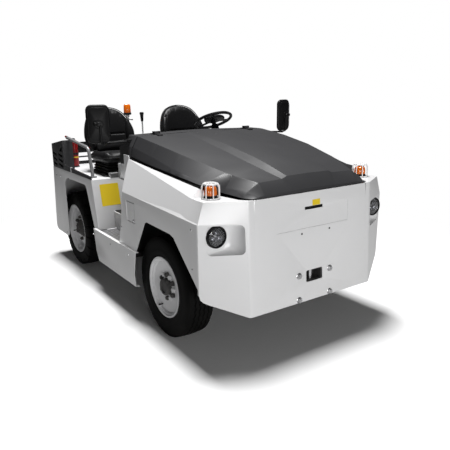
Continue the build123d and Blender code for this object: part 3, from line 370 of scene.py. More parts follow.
def mirrored(shape):
    """The shape on the tug's other side: y changes sign, and the faces are turned back outwards."""
    return shape[0] * np.array([1.0, -1.0, 1.0]), [face[::-1] for face in shape[1]]


def both(shape):
    return joined(shape, mirrored(shape))


def piece(name, shape, finish_name, body="tug", smooth=35.0, material=None, bevel=0.0):
    """Joins what touches, turns the faces outwards, smooths all edges flatter than the angle."""
    mesh = bpy.data.meshes.new(name)
    mesh.from_pydata(np.asarray(shape[0]).tolist(), [], shape[1])
    work = bmesh.new()
    work.from_mesh(mesh)
    bmesh.ops.remove_doubles(work, verts=work.verts, dist=1e-6)
    bmesh.ops.recalc_face_normals(work, faces=work.faces)
    for face in work.faces:
        face.smooth = True
    for edge in work.edges:
        edge.smooth = edge.is_manifold and edge.calc_face_angle(4.0) < math.radians(smooth)
    work.to_mesh(mesh)
    work.free()
    made = bpy.data.objects.new(name, mesh)
    bpy.context.scene.collection.objects.link(made)
    mesh.materials.append(material or FINISH[finish_name])
    if bevel:
        round_off = made.modifiers.new("rounded_edges", "BEVEL")
        round_off.width = bevel
        round_off.segments = 2
        round_off.limit_method = "ANGLE"
        round_off.angle_limit = math.radians(30)
    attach(made, body)
    return made


# %% Solids of revolution, tubes, plates and blocks
def axes(direction):
    """Three unit vectors as columns, the last along direction."""
    w = np.asarray(direction, float) / np.linalg.norm(direction)
    u = np.cross(w, (0.0, 0.0, 1.0) if abs(w[2]) < 0.9 else (1.0, 0.0, 0.0))
    u /= np.linalg.norm(u)
    return np.stack([u, np.cross(w, u), w], 1)


def turned(profile, at, direction, steps=32):
    """A profile of (radius, height) turned about the axis: x = r cos a, y = r sin a, z = h."""
    r, h = np.array(profile, float).T
    a = np.arange(steps) * TURN / steps
    points = np.stack([np.outer(np.cos(a), r), np.outer(np.sin(a), r), np.tile(h, (steps, 1))], -1)
    faces = grid_faces(steps, len(r), round_rows=True)
    return moved((points.reshape(-1, 3), faces), at, axes(direction))


def tube(path, radius, sides=10, ring=False):
    """A circle carried along a path, square to it at each point."""
    p = np.asarray(path, float)
    ahead = np.roll(p, -1, 0) - np.roll(p, 1, 0) if ring else np.gradient(p, axis=0)
    ahead /= np.linalg.norm(ahead, axis=1)[:, None]
    guide = np.array([0.0, 0.0, 1.0]) if np.abs(ahead[:, 2]).max() < 0.95 else np.array([0.31, 0.95, 0.0])
    u = np.cross(ahead, guide)
    u /= np.linalg.norm(u, axis=1)[:, None]
    v = np.cross(ahead, u)
    a = np.arange(sides) * TURN / sides
    r = np.broadcast_to(np.asarray(radius, float), (len(p),))[:, None, None]
    points = p[:,
               None] + r * (np.cos(a)[None, :, None] * u[:, None] + np.sin(a)[None, :, None] * v[:, None])
    faces = grid_faces(len(p), sides, ring, True)
    if not ring:
        last = (len(p) - 1) * sides
        faces += [list(range(sides))[::-1], list(range(last, last + sides))]
    return points.reshape(-1, 3), faces


def plate(outline, thick, at, along, up):
    """A flat outline of (along, up) points, thick both ways from its middle plane."""
    a, b = np.asarray(along, float), np.asarray(up, float)
    normal = np.cross(a, b)
    flat = np.array(outline, float)
    base = np.asarray(at, float) + flat[:, :1] * a + flat[:, 1:] * b
    n = len(flat)
    points = np.concatenate([base - normal * thick / 2, base + normal * thick / 2])
    faces = [list(range(n))[::-1], list(range(n, 2 * n))]
    faces += [[i, (i + 1) % n, n + (i + 1) % n, n + i] for i in range(n)]
    return points, faces


def oblong(width, height, corner, steps=4):
    """A rectangle's outline with round corners, about its middle."""
    a = np.linspace(0, TURN / 4, steps + 1)
    x, y = width / 2 - corner, height / 2 - corner
    quarters = [(sx * x + corner * np.cos(a + k * TURN / 4), sy * y + corner * np.sin(a + k * TURN / 4))
                for k, (sx, sy) in enumerate([(1, 1), (-1, 1), (-1, -1), (1, -1)])]
    return np.concatenate([np.stack(q, 1) for q in quarters])


def block(low, high):
    (x0, y0, z0), (x1, y1, z1) = low, high
    return plate([(x0, y0), (x1, y0), (x1, y1), (x0, y1)], z1 - z0, (0, 0, (z0 + z1) / 2),
                 (1, 0, 0), (0, 1, 0))


def hexes(places, direction, across, tall):
    """Hexagon heads with a chamfered top, one at each place."""
    profile = [(0, 0), (across * 0.577, 0), (across * 0.577, tall * 0.8), (across * 0.46, tall), (0, tall)]
    return joined(*[turned(profile, at, direction, 6) for at in places])


# %% [markdown]
# ## Sheet metal with pressed edges
# A brake press leaves a radius of a few millimetres on every fold, and that radius is what catches
# the light. The CAD panels have sharp folds, because that keeps them light. So a copy of each is
# cleaned of its loose triangles, its folds get a real bevel, and the copy stands for the node.

# %% A panel with rounded folds
def softened(node, width, segments=3, from_angle=9.0):
    source = NODES[node]
    mesh = source.data.copy()
    mesh.name = node + "_pressed"
    work = bmesh.new()
    work.from_mesh(mesh)
    bmesh.ops.remove_doubles(work, verts=work.verts, dist=2e-5)
    bmesh.ops.dissolve_limit(work, angle_limit=math.radians(0.6), verts=work.verts, edges=work.edges)
    bmesh.ops.recalc_face_normals(work, faces=work.faces)
    work.to_mesh(mesh)
    work.free()
    made = bpy.data.objects.new(node + "_pressed", mesh)
    bpy.context.scene.collection.objects.link(made)
    mesh.materials[0] = FINISH[slot_of[node]]
    fold = made.modifiers.new("pressed_folds", "BEVEL")
    fold.width = width
    fold.segments = segments
    fold.limit_method = "ANGLE"
    fold.angle_limit = math.radians(from_angle)
    fold.use_clamp_overlap = True
    fold.harden_normals = True
    made.data.shade_smooth()
    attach(made, source.parent.name.removeprefix("body:"))
    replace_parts(made, node)
    return made


for name, width in (("bonnet", 0.009), ("front_panel", 0.006), ("side_panel_left", 0.004),
                    ("side_panel_right", 0.004), ("rear_body", 0.006), ("side_skirts", 0.003),
                    ("cowl", 0.006), ("tail_boxes", 0.004)):
    pressed = softened(name, width)
    print(name, "faces before its folds:", len(pressed.data.polygons))

# %% [markdown]
# ## Front corners
# The two corners carry the whole look of the front, so they are pressed again here with their true
# bends. The corner sheet is a ruled surface between two lines, the bend beside the plate and the
# outer edge. Above the crease it leans in, and a ledge runs back from its flat top beside the
# bonnet. The lamp sits in a scoop that leaves its floor flat and meets the sheet square.

# %% The corner's lines and its sheet, on the left side
PRESSED = bpy.data.objects["front_panel_pressed"]
PLATE_CUT_Y = 0.468
CREASE_Z, TOP_Z = 0.900, NOSE_TOP_Z + 0.0008
SHEET = 0.004


def plate_x(z):
    return NOSE_X - NOSE_LEAN * z


def bend_line(z):
    return np.array([plate_x(z) - 0.0065, 0.5175, z])


def outer_line(z):
    """Upright to the crease, and from there leaning in to the corner of the flat top."""
    rise = max(z - CREASE_Z, 0) / (TOP_Z - CREASE_Z)
    low = AXLE_X + 0.533 + 0.004 * min(z, CREASE_Z) / CREASE_Z
    return np.array([low - 0.001 * rise, SIDE_Y - 0.002 - 0.041 * rise, z])


SHEET_W = float(np.linalg.norm((outer_line(CREASE_Z) - bend_line(CREASE_Z))[:2]))


def on_corner(across, z):
    """The point of the ruled sheet that lies across metres outboard of the bend, at height z."""
    return bend_line(z) + (outer_line(z) - bend_line(z)) * across / SHEET_W


def cut_sides(mesh, half_width):
    """Leaves only what lies within half_width of the tug's middle plane."""
    work = bmesh.new()
    work.from_mesh(mesh)
    for side in (1, -1):
        every = work.verts[:] + work.edges[:] + work.faces[:]
        bmesh.ops.bisect_plane(work, geom=every, plane_co=(0, side * half_width, 0), plane_no=(0, side, 0),
                               clear_outer=True)
    work.to_mesh(mesh)
    work.free()


def filled(outer, holes=()):
    """Triangles between a flat outline and its holes, as numbers into all points in turn."""
    loops = [[Vector((x, y, 0)) for x, y in line] for line in (outer, *holes)]
    return [list(face) for face in tessellate_polygon(loops)]


cut_sides(PRESSED.data, PLATE_CUT_Y)
NOSE_LOW_Z, CORNER_LOW_Z = 0.3275, 0.474
LOW = [(0.0, NOSE_LOW_Z), (0.220, 0.414), (0.2555, 0.430), (0.2735, 0.448), (SHEET_W, CORNER_LOW_Z)]
MOUTH_MID, MOUTH_W, MOUTH_H, MOUTH_R = (0.120, 0.804), 0.222, 0.176, 0.030
mouth = oblong(MOUTH_W, MOUTH_H, MOUTH_R, 6) + MOUTH_MID
outline = LOW + [(SHEET_W, CREASE_Z), (0.0, CREASE_Z)]
lower_points = np.array([on_corner(a, z) for a, z in outline + mouth.tolist()])
lower = lower_points, filled(outline, [mouth.tolist()])
heights = np.linspace(CREASE_Z, TOP_Z, 5)
upper = np.array([[on_corner(a, z) for a in np.linspace(0, SHEET_W, 6)] for z in heights]), grid_faces(5, 6)
upper = upper[0].reshape(-1, 3), upper[1]

# %% The bend, the returned edge, the flat top and the ledge beside the bonnet
BEND = ((0.0, 0.0), (0.0, 0.018), (0.0005, 0.033), (0.0025, 0.0425), (0.0065, 0.0495))
rows = [NOSE_LOW_Z, 0.600, CREASE_Z, TOP_Z]
bend = np.array([[(plate_x(z) - back, PLATE_CUT_Y + y, z) for back, y in BEND] for z in rows])
bend = bend.reshape(-1, 3), grid_faces(len(rows), len(BEND))
edge_rows = [CORNER_LOW_Z, 0.700, CREASE_Z]
returned = np.array([[outer_line(z), (AXLE_X + 0.525, SIDE_Y - 0.0008, z)] for z in edge_rows])
returned = returned.reshape(-1, 3), grid_faces(3, 2)


def from_axle(points):
    return np.array([(AXLE_X + x, y, z) for x, y, z in points])


CORNER = outer_line(TOP_Z)
LEDGE_START = (0.400, 0.7225, TOP_Z)
LEDGE_REAR = (-0.632, 0.6520, 1.1485)
HOOD_SIDE = (0.380, 0.6585, 1.0745)
HOOD_FOOT = (0.440, 0.548, TOP_Z)
top_points = np.concatenate([[(plate_x(TOP_Z), PLATE_CUT_Y, TOP_Z), (plate_x(TOP_Z), 0.501, TOP_Z),
                              bend_line(TOP_Z), CORNER],
                             from_axle([LEDGE_START, HOOD_FOOT, (0.600, 0.524, TOP_Z),
                                        (0.648, 0.486, TOP_Z), (0.6505, PLATE_CUT_Y, TOP_Z)])])
flat_top = top_points, filled(top_points[:, :2].tolist())
ledge = from_axle([LEDGE_REAR, LEDGE_START, HOOD_SIDE, HOOD_FOOT]), [[0, 1, 2], [1, 3, 2]]
crease_front, crease_rear = outer_line(CREASE_Z), from_axle([(-0.505, SIDE_Y + 0.0005, 0.9345)])[0]
slope_top = [from_axle([LEDGE_REAR])[0], from_axle([LEDGE_START])[0], CORNER]
slope = np.array([crease_rear, crease_rear + (crease_front - crease_rear) * 0.883,
                  crease_front] + slope_top)
slope = slope, [[0, 1, 4, 3], [1, 2, 5, 4]]

# %% The lamp's scoop: rings that leave the floor flat and reach the sheet square to it
FLOOR_X = 0.5560
scoop_floor = oblong(0.140, 0.150, 0.060, 6) + (0.664, 0.808)
turn_in = np.linspace(0, TURN / 4, 9)
start = np.array([(AXLE_X + FLOOR_X, y, z) for y, z in scoop_floor])
end = lower_points[len(outline):]
rings = [np.column_stack([start[:, 0] + (end[:, 0] - start[:, 0]) * (1 - math.cos(a)),
                          start[:, 1:] + (end[:, 1:] - start[:, 1:]) * math.sin(a)]) for a in turn_in]
count = len(scoop_floor)
scoop = np.concatenate(rings), grid_faces(len(rings), count, False, True) + [list(range(count))]
corner_parts = joined(lower, upper, bend, returned, flat_top)
shells = piece("corner_shells", both(corner_parts), "white_paint", smooth=34)
scoops = piece("lamp_scoops", both(scoop), "white_paint", smooth=60)
piece("side_slopes", both(joined(slope, ledge)), "white_paint", smooth=20)
for thing in (shells, scoops):
    thickness = thing.modifiers.new("sheet", "SOLIDIFY")
    thickness.thickness = SHEET / 4
    thickness.offset = 0.0
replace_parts(scoops, "headlamp_bowls")
print("corner sheets made")

# %% [markdown]
# ## Tyres
# A tyre is a closed ring: one outline of the section, carried round the axle. The front pair is
# ribbed, with four grooves that zigzag, and the rear pair is lugged for grip. Each groove
# edge has its own line of points, so that the rubber breaks off sharply, which a plain fine grid
# or a bump in the material would not give.

# %% Section of a tyre
def section(rim_r, outer_r, tread):
    """Points (y, r, depth share) from the inner bead over the tread to the outer bead, about y = 0."""
    side = [(0.078, rim_r - 0.020, 0), (0.081, rim_r - 0.002, 0), (0.088, rim_r + 0.006, 0),
            (0.0945, rim_r + 0.010, 0), (0.0955, rim_r + 0.016, 0), (0.0975, rim_r + 0.024, 0),
            (0.0995, rim_r + 0.036, 0), (0.1008, rim_r + 0.046, 0), (0.0996, rim_r + 0.050, 0),
            (0.1005, outer_r - 0.066, 0), (0.1000, outer_r - 0.050, 0.3), (0.0980, outer_r - 0.034, 0.6),
            (0.0935, outer_r - 0.016, 0.9), (0.0865, outer_r - 0.0055, 1.0)]
    outline = [(-y, r, d) for y, r, d in side] + tread + [(y, r, d) for y, r, d in reversed(side)]
    return np.array(outline).T


def wheel_ring(y, r, angle, centre, outboard):
    """Section points at each angle: x = r sin a, z = r cos a, y along the axle."""
    points = np.stack([centre.x + r * np.sin(angle), centre.y + outboard * y,
                       centre.z + r * np.cos(angle)], -1)
    rows, columns = angle.shape
    return points.reshape(-1, 3), grid_faces(rows, columns, True, True)


def crown(y, outer_r):
    return outer_r - 0.10 * y * y / 0.16


# %% Front tyres: four zigzag grooves
ZIGZAGS, ZIGZAG_SHIFT, GROOVE_DEPTH = 44, 0.0045, 0.009
GROOVE_LINES = (-0.050, -0.0165, 0.0165, 0.050)


def ribbed_tyre(rim_r, centre, outboard):
    lines = []
    for y in GROOVE_LINES:
        lines += [(y - 0.0060, 0), (y - 0.0034, GROOVE_DEPTH), (y + 0.0034, GROOVE_DEPTH), (y + 0.0060, 0)]
    tread = [(-0.076, 0)] + lines + [(0.076, 0)]
    y, r, _ = section(rim_r, centre.z, [(a, crown(a, centre.z) - b, 0) for a, b in tread])
    rows = ZIGZAGS * 4
    turn = np.arange(rows) * TURN / rows
    wave = 1 - np.abs(np.arange(rows) % 4 - 2)
    held = np.clip((0.078 - np.abs(y)) / 0.012, 0, 1) * (r > centre.z - 0.04)
    shifted = y[None] + ZIGZAG_SHIFT * wave[:, None] * held[None]
    return wheel_ring(shifted, np.tile(r, (rows, 1)), np.tile(turn[:, None], (1, len(y))), centre, outboard)


# %% Rear tyres: bars that alternate left and right, with open shoulders
LUGS, LUG_DEPTH, LUG_SLANT = 20, 0.017, 0.34
LUG_PHASES = (0.0, 0.055, 0.085, 0.25, 0.415, 0.445)


def lugged_tyre(rim_r, centre, outboard):
    across = (-0.076, -0.058, -0.040, -0.022, -0.012, -0.007, 0.007, 0.012, 0.022, 0.040, 0.058, 0.076)
    y, r, share = section(rim_r, centre.z, [(a, crown(a, centre.z), float(abs(a) > 0.010)) for a in across])
    phases = np.array(LUG_PHASES + tuple(p + 0.5 for p in LUG_PHASES))
    steps = (np.arange(LUGS)[:, None] + phases[None]).ravel()
    offset = np.where(y > 0, 0.5, 0.0)
    near = np.abs((steps[:, None] + offset[None] + 0.5) % 1 - 0.5)
    cut = np.clip((0.086 - near) / 0.030, 0, 1) * share[None] * LUG_DEPTH
    slope = np.gradient(r), np.gradient(y)
    length = np.hypot(*slope)
    inward_r, inward_y = -slope[1] / length, slope[0] / length
    slant = LUG_SLANT * np.clip(np.abs(y) / 0.09, 0, 1)
    angle = (steps[:, None] - slant[None]) * TURN / LUGS
    return wheel_ring(y[None] + cut * inward_y[None], r[None] + cut * inward_r[None], angle, centre,
                      outboard)


FRONT_RIM_R, REAR_RIM_R = 0.210, 0.232
for side, outboard in (("left", 1), ("right", -1)):
    for end, make, rim_r in (("front", ribbed_tyre, FRONT_RIM_R), ("rear", lugged_tyre, REAR_RIM_R)):
        node = "tyre_" + end + "_" + side
        centre = middle(node)
        tread = piece(node + "_tread", make(rim_r, centre, outboard), "tyre_black", "wheel_" + node[5:],
                      28.0)
        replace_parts(tread, node)

# %% [markdown]
# ## Hubs, nuts and valves
# The front rims stay as they are, and the rear ones are turned again with a shallower dish. What
# sells a wheel is its middle: a black dust cap in front, a black hub with its bolts behind, studs
# that stand out of the nuts, and a rubber valve.

# %% Rear rims: the disc sits near the outer side, behind a gutter that lies in shade
REAR_DISC = 0.040
REAR_RIM = [(0.232, 0.084), (0.232, 0.091), (0.229, 0.092), (0.224, 0.0915), (0.218, 0.087), (0.206, 0.078),
            (0.202, 0.072), (0.198, 0.060), (0.188, 0.052), (0.183, 0.036), (0.178, 0.024), (0.168, 0.022),
            (0.158, 0.030), (0.150, 0.038), (0.142, REAR_DISC), (0.070, REAR_DISC), (0.070, 0.032),
            (0.142, 0.032),
            (0.158, 0.020), (0.178, 0.014), (0.192, 0.030), (0.203, 0.0), (0.203, -0.070), (0.222, -0.092),
            (0.232, -0.092), (0.232, -0.084), (0.209, -0.080), (0.209, 0.078), (0.232, 0.084)]
for side, outboard in (("left", 1), ("right", -1)):
    node = "rim_rear_" + side
    pressed = turned(REAR_RIM, np.array(middle(node)), (0.0, outboard, 0.0), 72)
    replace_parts(piece(node + "_pressed", pressed, "rim_paint", "wheel_rear_" + side, 30.0), node)
print("rear rims made")

# %% Wheel middles
def wheel_middle(end, side, outboard):
    centre = middle("rim_" + end + "_" + side)
    out = np.array([0.0, outboard, 0.0])
    disc, circle, hub = (0.052, 0.084, 0.022) if end == "front" else (REAR_DISC, 0.108, 0.026)
    at = np.array(centre) + out * disc
    name = end + "_" + side
    body = "wheel_" + name
    ring = [np.array([circle * math.sin(a), 0, circle * math.cos(a)]) for a in np.arange(6) * TURN / 6]
    studs = joined(*[turned([(0, 0), (0.0065, 0), (0.0065, 0.006), (0.005, 0.008), (0, 0.008)],
                            at + spot + out * 0.020, out, 10) for spot in ring])
    piece("studs_" + name, studs, "cast_black", body)
    washers = joined(*[turned([(0, 0), (0.019, 0), (0.019, 0.0022), (0.0165, 0.003), (0, 0.003)],
                              at + spot + out * 0.001, out, 16) for spot in ring])
    piece("washers_" + name, washers, "cast_black", body)
    if end == "front":
        cap = [(0, 0.0), (0.060, 0.0), (0.060, 0.006), (0.0575, 0.009), (0.0575, hub + 0.010),
               (0.053, hub + 0.016), (0.040, hub + 0.017), (0.036, hub + 0.010), (0, hub + 0.010)]
        piece("dust_cap_" + name, turned(cap, at + out * 0.003, out, 40), "cast_black", body, 30)
        nuts = hexes([at + spot + out * 0.003 for spot in ring], out, 0.0275, 0.0215)
        piece("nuts_" + name, nuts, "cast_black", body, 20)
    else:
        cap = [(0, 0.0), (0.080, 0.0), (0.080, 0.008), (0.066, 0.012), (0.064, 0.018), (0.058, 0.021),
               (0.057, hub + 0.002), (0.050, hub + 0.008), (0, hub + 0.008)]
        shell = turned(cap, at + out * 0.003, out, 40)
        bolts = [at + out * (hub + 0.010) + 0.038 * np.array([math.sin(a), 0, math.cos(a)])
                 for a in (np.arange(8) + 0.5) * TURN / 8]
        nuts = hexes([at + spot + out * 0.003 for spot in ring], out, 0.0275, 0.020)
        piece("hub_" + name, joined(shell, hexes(bolts, out, 0.013, 0.008), nuts), "cast_black", body, 30)
    stem_at = at + (np.array([-0.070, 0, -0.150]) if end == "front"
                    else np.array([-0.158, 0, -0.058]) - out * 0.010)
    stem = turned([(0, 0), (0.008, 0), (0.008, 0.006), (0.0045, 0.012), (0.0045, 0.030), (0.0055, 0.031),
                   (0.0055, 0.040), (0.004, 0.042), (0, 0.042)], stem_at + out * 0.002,
                  out + np.array([-0.25, 0, -0.1]), 14)
    piece("valve_" + name, stem, "rubber_black", body)


for side, outboard in (("left", 1), ("right", -1)):
    for end in ("front", "rear"):
        wheel_middle(end, side, outboard)
print("wheel middles made")

# %% [markdown]
# ## Lamps
# A headlamp is a black ring and bowl, three small projectors and a clear cover: light has something
# to bounce about in, which a painted disc can never imitate. The turn lamps and the beacon have
# fluted amber covers that let a part of the light through, so they stay orange from every side.

# %% Headlamps
AMBER = finish("amber_cover", (0.90, 0.20, 0.008), 0.16, grain_size=60.0, bump=0.05, dusty=0.0, coat=0.6)
AMBER.node_tree.nodes["Principled BSDF"].inputs["Transmission Weight"].default_value = 0.35
DARK_CHROME = finish("dark_chrome", (0.16, 0.16, 0.17), 0.24, metal=1.0, grain_size=40.0, bump=0.03,
                     dusty=0.0, change=0.05)
LAMP_Z = 0.822
lamp_at = np.array([plate_x(LAMP_Z) - 0.114, SIDE_Y - 0.108, LAMP_Z])
lamp_out = np.array([1.0, 0.0, 0.0])
bezel = turned([(0.053, 0.010), (0.0545, 0.020), (0.058, 0.0235), (0.0625, 0.0235), (0.0655, 0.019),
                (0.0655, -0.004), (0.053, -0.004)], lamp_at, lamp_out, 56)
lamp_back = turned([(0, -0.005), (0.0655, -0.005), (0.0655, -0.003), (0, -0.003)], lamp_at, lamp_out, 56)
bezel = joined(bezel, lamp_back)
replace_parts(piece("headlamp_rings", both(bezel), "plastic_black", smooth=40), "headlamps")
across = axes(lamp_out)
bowl = turned([(0.0, -0.001), (0.020, 0.000), (0.040, 0.005), (0.0535, 0.013), (0.0535, 0.0115),
               (0.040, 0.0035), (0.0, -0.0025)], lamp_at, lamp_out, 48)
piece("headlamp_bowls_inner", both(bowl), "plastic_black", smooth=50)
projectors = []
for shift, radius in (((-0.020, 0.010), 0.0165), ((0.021, 0.010), 0.0165), ((0.0, -0.022), 0.0120)):
    at = lamp_at + across[:, 0] * shift[0] + across[:, 1] * shift[1] + lamp_out * 0.002
    projectors.append(turned([(radius - 0.003, 0.0), (radius - 0.002, 0.012), (radius, 0.0135),
                              (radius + 0.002, 0.012), (radius + 0.003, 0.0)], at, lamp_out, 28))
    projectors.append(turned([(0, 0.0125), (radius * 0.6, 0.010), (radius - 0.002, 0.004), (0, 0.004)],
                             at, lamp_out, 28))
piece("headlamp_projectors", both(joined(*projectors)), "mirror_glass", smooth=60, material=DARK_CHROME)
cover = turned([(0, 0.0245), (0.020, 0.0240), (0.040, 0.0222), (0.0535, 0.0190), (0.0535, 0.0175),
                (0.040, 0.0205), (0.020, 0.0222), (0, 0.0228)], lamp_at, lamp_out, 48)
piece("headlamp_covers", both(cover), "lamp_glass", smooth=60)


# %% Fluted covers for the turn lamps and the beacon
def fluted(profile, at, flutes, depth, steps_each=6):
    """As turned, with r = R (1 + depth cos(n a)) where the profile says so."""
    r, h, share = np.array(profile, float).T
    steps = flutes * steps_each
    a = np.arange(steps) * TURN / steps
    wide = r[None] * (1 + depth * share[None] * np.cos(flutes * a)[:, None])
    points = np.stack([wide * np.cos(a)[:, None], wide * np.sin(a)[:, None], np.tile(h, (steps, 1))], -1)
    return moved((points.reshape(-1, 3), grid_faces(steps, len(r), True)), at)


turn_low, turn_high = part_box("turn_lamps")
TURN_AT = np.array([(turn_low.x + turn_high.x) / 2, turn_high.y - 0.042, turn_low.z])
base = turned([(0, 0), (0.042, 0), (0.042, 0.010), (0.040, 0.014), (0.038, 0.022), (0, 0.022)], TURN_AT,
              (0, 0, 1), 40)
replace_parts(piece("turn_lamp_bases", both(base), "rubber_black"), "turn_lamps")
lens = fluted([(0, 0.018, 0), (0.036, 0.018, 0), (0.0375, 0.024, 0.6), (0.0365, 0.045, 1),
               (0.034, 0.062, 1),
               (0.029, 0.071, 0.6), (0.018, 0.0745, 0), (0, 0.075, 0)], TURN_AT, 20, 0.03)
piece("turn_lamp_covers", both(lens), "amber_lens", smooth=50, material=AMBER)
low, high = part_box("beacon_lens")
BEACON_AT = np.array([(low.x + high.x) / 2, (low.y + high.y) / 2, low.z])
lens = fluted([(0, 0.010, 0), (0.035, 0.010, 0), (0.0365, 0.014, 0.4), (0.0355, 0.045, 1),
               (0.0335, 0.084, 1),
               (0.029, 0.093, 0.5), (0.018, 0.0965, 0), (0, 0.0975, 0)], BEACON_AT, 28, 0.022, 4)
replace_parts(piece("beacon_cover", lens, "amber_lens", smooth=50, material=AMBER), "beacon_lens")
foot = turned([(0, -0.001), (0.041, -0.001), (0.041, 0.006), (0.0385, 0.011), (0, 0.011)], BEACON_AT,
              (0, 0, 1), 40)
piece("beacon_foot", foot, "rubber_black")
nut = turned([(0, -0.034), (0.018, -0.034), (0.020, -0.030), (0.020, -0.014), (0.030, -0.011), (0, -0.011)],
             BEACON_AT, (0, 0, 1), 24)
piece("beacon_collar", nut, "pin_steel")
print("lamps made")

# %% [markdown]
# ## Front plate
# The plate leans back a little, so small parts on it are placed with a function that gives the point
# and the outward direction. The large bolts hold the coupling behind, the slot is the bonnet's
# release, and the small sticker above it is left without any words.

# %% Parts on the leaning plate
PLATE_OUT = np.array([1.0, 0.0, NOSE_LEAN]) / math.hypot(1.0, NOSE_LEAN)
PLATE_UP = np.array([-NOSE_LEAN, 0.0, 1.0]) / math.hypot(1.0, NOSE_LEAN)


def on_plate(y, z, proud=0.0):
    return np.array([plate_x(z), y, z]) + PLATE_OUT * proud


bolt_spots = [on_plate(y, z) for y in (-0.132, 0.132) for z in (0.334 + 0.012, 0.505)]
heads = hexes([spot + PLATE_OUT * 0.003 for spot in bolt_spots], PLATE_OUT, 0.030, 0.013)
rings = joined(*[turned([(0, 0), (0.021, 0), (0.021, 0.003), (0.019, 0.0042), (0, 0.0042)], spot,
                        PLATE_OUT, 24)
                 for spot in bolt_spots])
piece("plate_bolts", joined(heads, rings), "pin_steel", smooth=30)
screws = joined(*[turned([(0, 0), (0.0065, 0), (0.0060, 0.002), (0.003, 0.0035), (0, 0.0035)],
                         on_plate(y, 0.771), PLATE_OUT, 14) for y in (-0.104, 0.131)])
piece("plate_screws", screws, "plastic_black")
ALONG_Y = (0.0, 1.0, 0.0)
tag = plate(oblong(0.064, 0.036, 0.003), 0.0008, on_plate(0.017, 0.9555, 0.0006), ALONG_Y, PLATE_UP)
piece("release_sticker", tag, "red_paint", material=YELLOW)
slot_lip = plate(oblong(0.146, 0.017, 0.003), 0.004, on_plate(0.0, 0.9255, -0.012), ALONG_Y, PLATE_UP)
piece("release_slot_back", slot_lip, "plastic_black")

# %% [markdown]
# ## Seats
# Upholstery is foam under a stretched cover, so nothing on it is flat. Each pad starts as an outline
# whose rings shrink towards a crown. Blender's Cloth then blows it up a little, as the foam does, and
# only after that come the sewn channels, because remeshing would fill them. One seat is made, and
# the other is its mirror image.

# %% Pads from an outline
SEAT_W = 0.464
SEAT_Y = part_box("seats")[1].y - SEAT_W / 2 - 0.006
SEAT_Z = DECK_Z + 0.114
CUSHION_X = REAR_X + 0.439


def pad(outline, thick, edge, crown, flat_back=True):
    """Rings (inset, height): edge (1 - cos p), thick/2 sin p, then a crown of crown (1 - s^2)."""
    line = np.asarray(outline, float)
    out = np.roll(line, -1, 0) - np.roll(line, 1, 0)
    out = np.stack([out[:, 1], -out[:, 0]], 1) / np.linalg.norm(out, axis=1)[:, None]
    middle_of = line.mean(0)
    rings = []
    arc = np.linspace(-TURN / 4, TURN / 4, 9)
    inner = np.linspace(0, 1, 9)[:-1]
    flat = line - out * edge
    for s in inner:
        low = -thick / 2 - (0 if flat_back else crown) * (1 - s * s)
        rings.append(np.column_stack([middle_of + (flat - middle_of) * s, np.full(len(line), low)]))
    for p in arc:
        rings.append(np.column_stack([line - out * edge * (1 - math.cos(p)),
                                      np.full(len(line), thick / 2 * math.sin(p))]))
    for s in inner[::-1]:
        rings.append(np.column_stack([middle_of + (flat - middle_of) * s,
                                      np.full(len(line), thick / 2 + crown * (1 - s * s))]))
    return np.concatenate(rings), grid_faces(len(rings), len(line), False, True)


def rounded_line(points, steps=8):
    """A closed Catmull-Rom curve through the points, by the usual cubic in t."""
    p = np.asarray(points, float)
    a, b, c, d = np.roll(p, 1, 0), p, np.roll(p, -1, 0), np.roll(p, -2, 0)
    t = (np.arange(steps) / steps)[None, :, None]
    a, b, c, d = (k[:, None] for k in (a, b, c, d))
    curve = 0.5 * (2 * b + (c - a) * t + (2 * a - 5 * b + 4 * c - d) * t ** 2
                   + (3 * b - a - 3 * c + d) * t ** 3)
    return curve.reshape(-1, 2)


# %% Foam: cloth blows the pad up a little, and seams are pressed in afterwards
SETTLE_FRAMES = 20


def foam(name, shape, cap, seams):
    made = piece(name, shape, "seat_cover", smooth=80)
    solid = made.modifiers.new("even_mesh", "REMESH")
    solid.mode = "VOXEL"
    solid.voxel_size = 0.006
    swell = made.modifiers.new("swell", "CLOTH")
    swell.settings.use_pressure = True
    swell.settings.uniform_pressure_force = 4.0
    swell.settings.effector_weights.gravity = 0.0
    swell.point_cache.frame_start, swell.point_cache.frame_end = 1, SETTLE_FRAMES
    scene = bpy.context.scene
    swell.show_viewport = False
    before = mesh_points(made)
    swell.show_viewport = True
    for frame_number in range(1, SETTLE_FRAMES + 1):
        scene.frame_set(frame_number)
    after = mesh_points(made)
    swell.show_viewport = False
    settled = bpy.data.meshes.new_from_object(made.evaluated_get(bpy.context.evaluated_depsgraph_get()))
    move = after - before
    length = np.linalg.norm(move, axis=1)
    move *= (np.minimum(length, cap) / np.maximum(length, 1e-9))[:, None]
    settled.vertices.foreach_set("co", (before + move).ravel())
    made.modifiers.clear()
    made.data = settled
    scene.frame_set(1)
    points = mesh_points(made)
    made.data.vertices.foreach_set("co", seams(points).ravel())
    made.data.shade_smooth()
    made.data.update()
    return made


def mesh_points(thing):
    ready = thing.evaluated_get(bpy.context.evaluated_depsgraph_get()).data
    flat = np.empty(len(ready.vertices) * 3)
    ready.vertices.foreach_get("co", flat)
    return flat.reshape(-1, 3)


def dent(distance, width):
    """1 on a seam and 0 beyond its width: exp(-(d / width)^2)."""
    return np.exp(-(distance / width) ** 2)


# %% Cushion, with raised sides and a roll in front
CUSHION_L, CUSHION_T = 0.420, 0.068


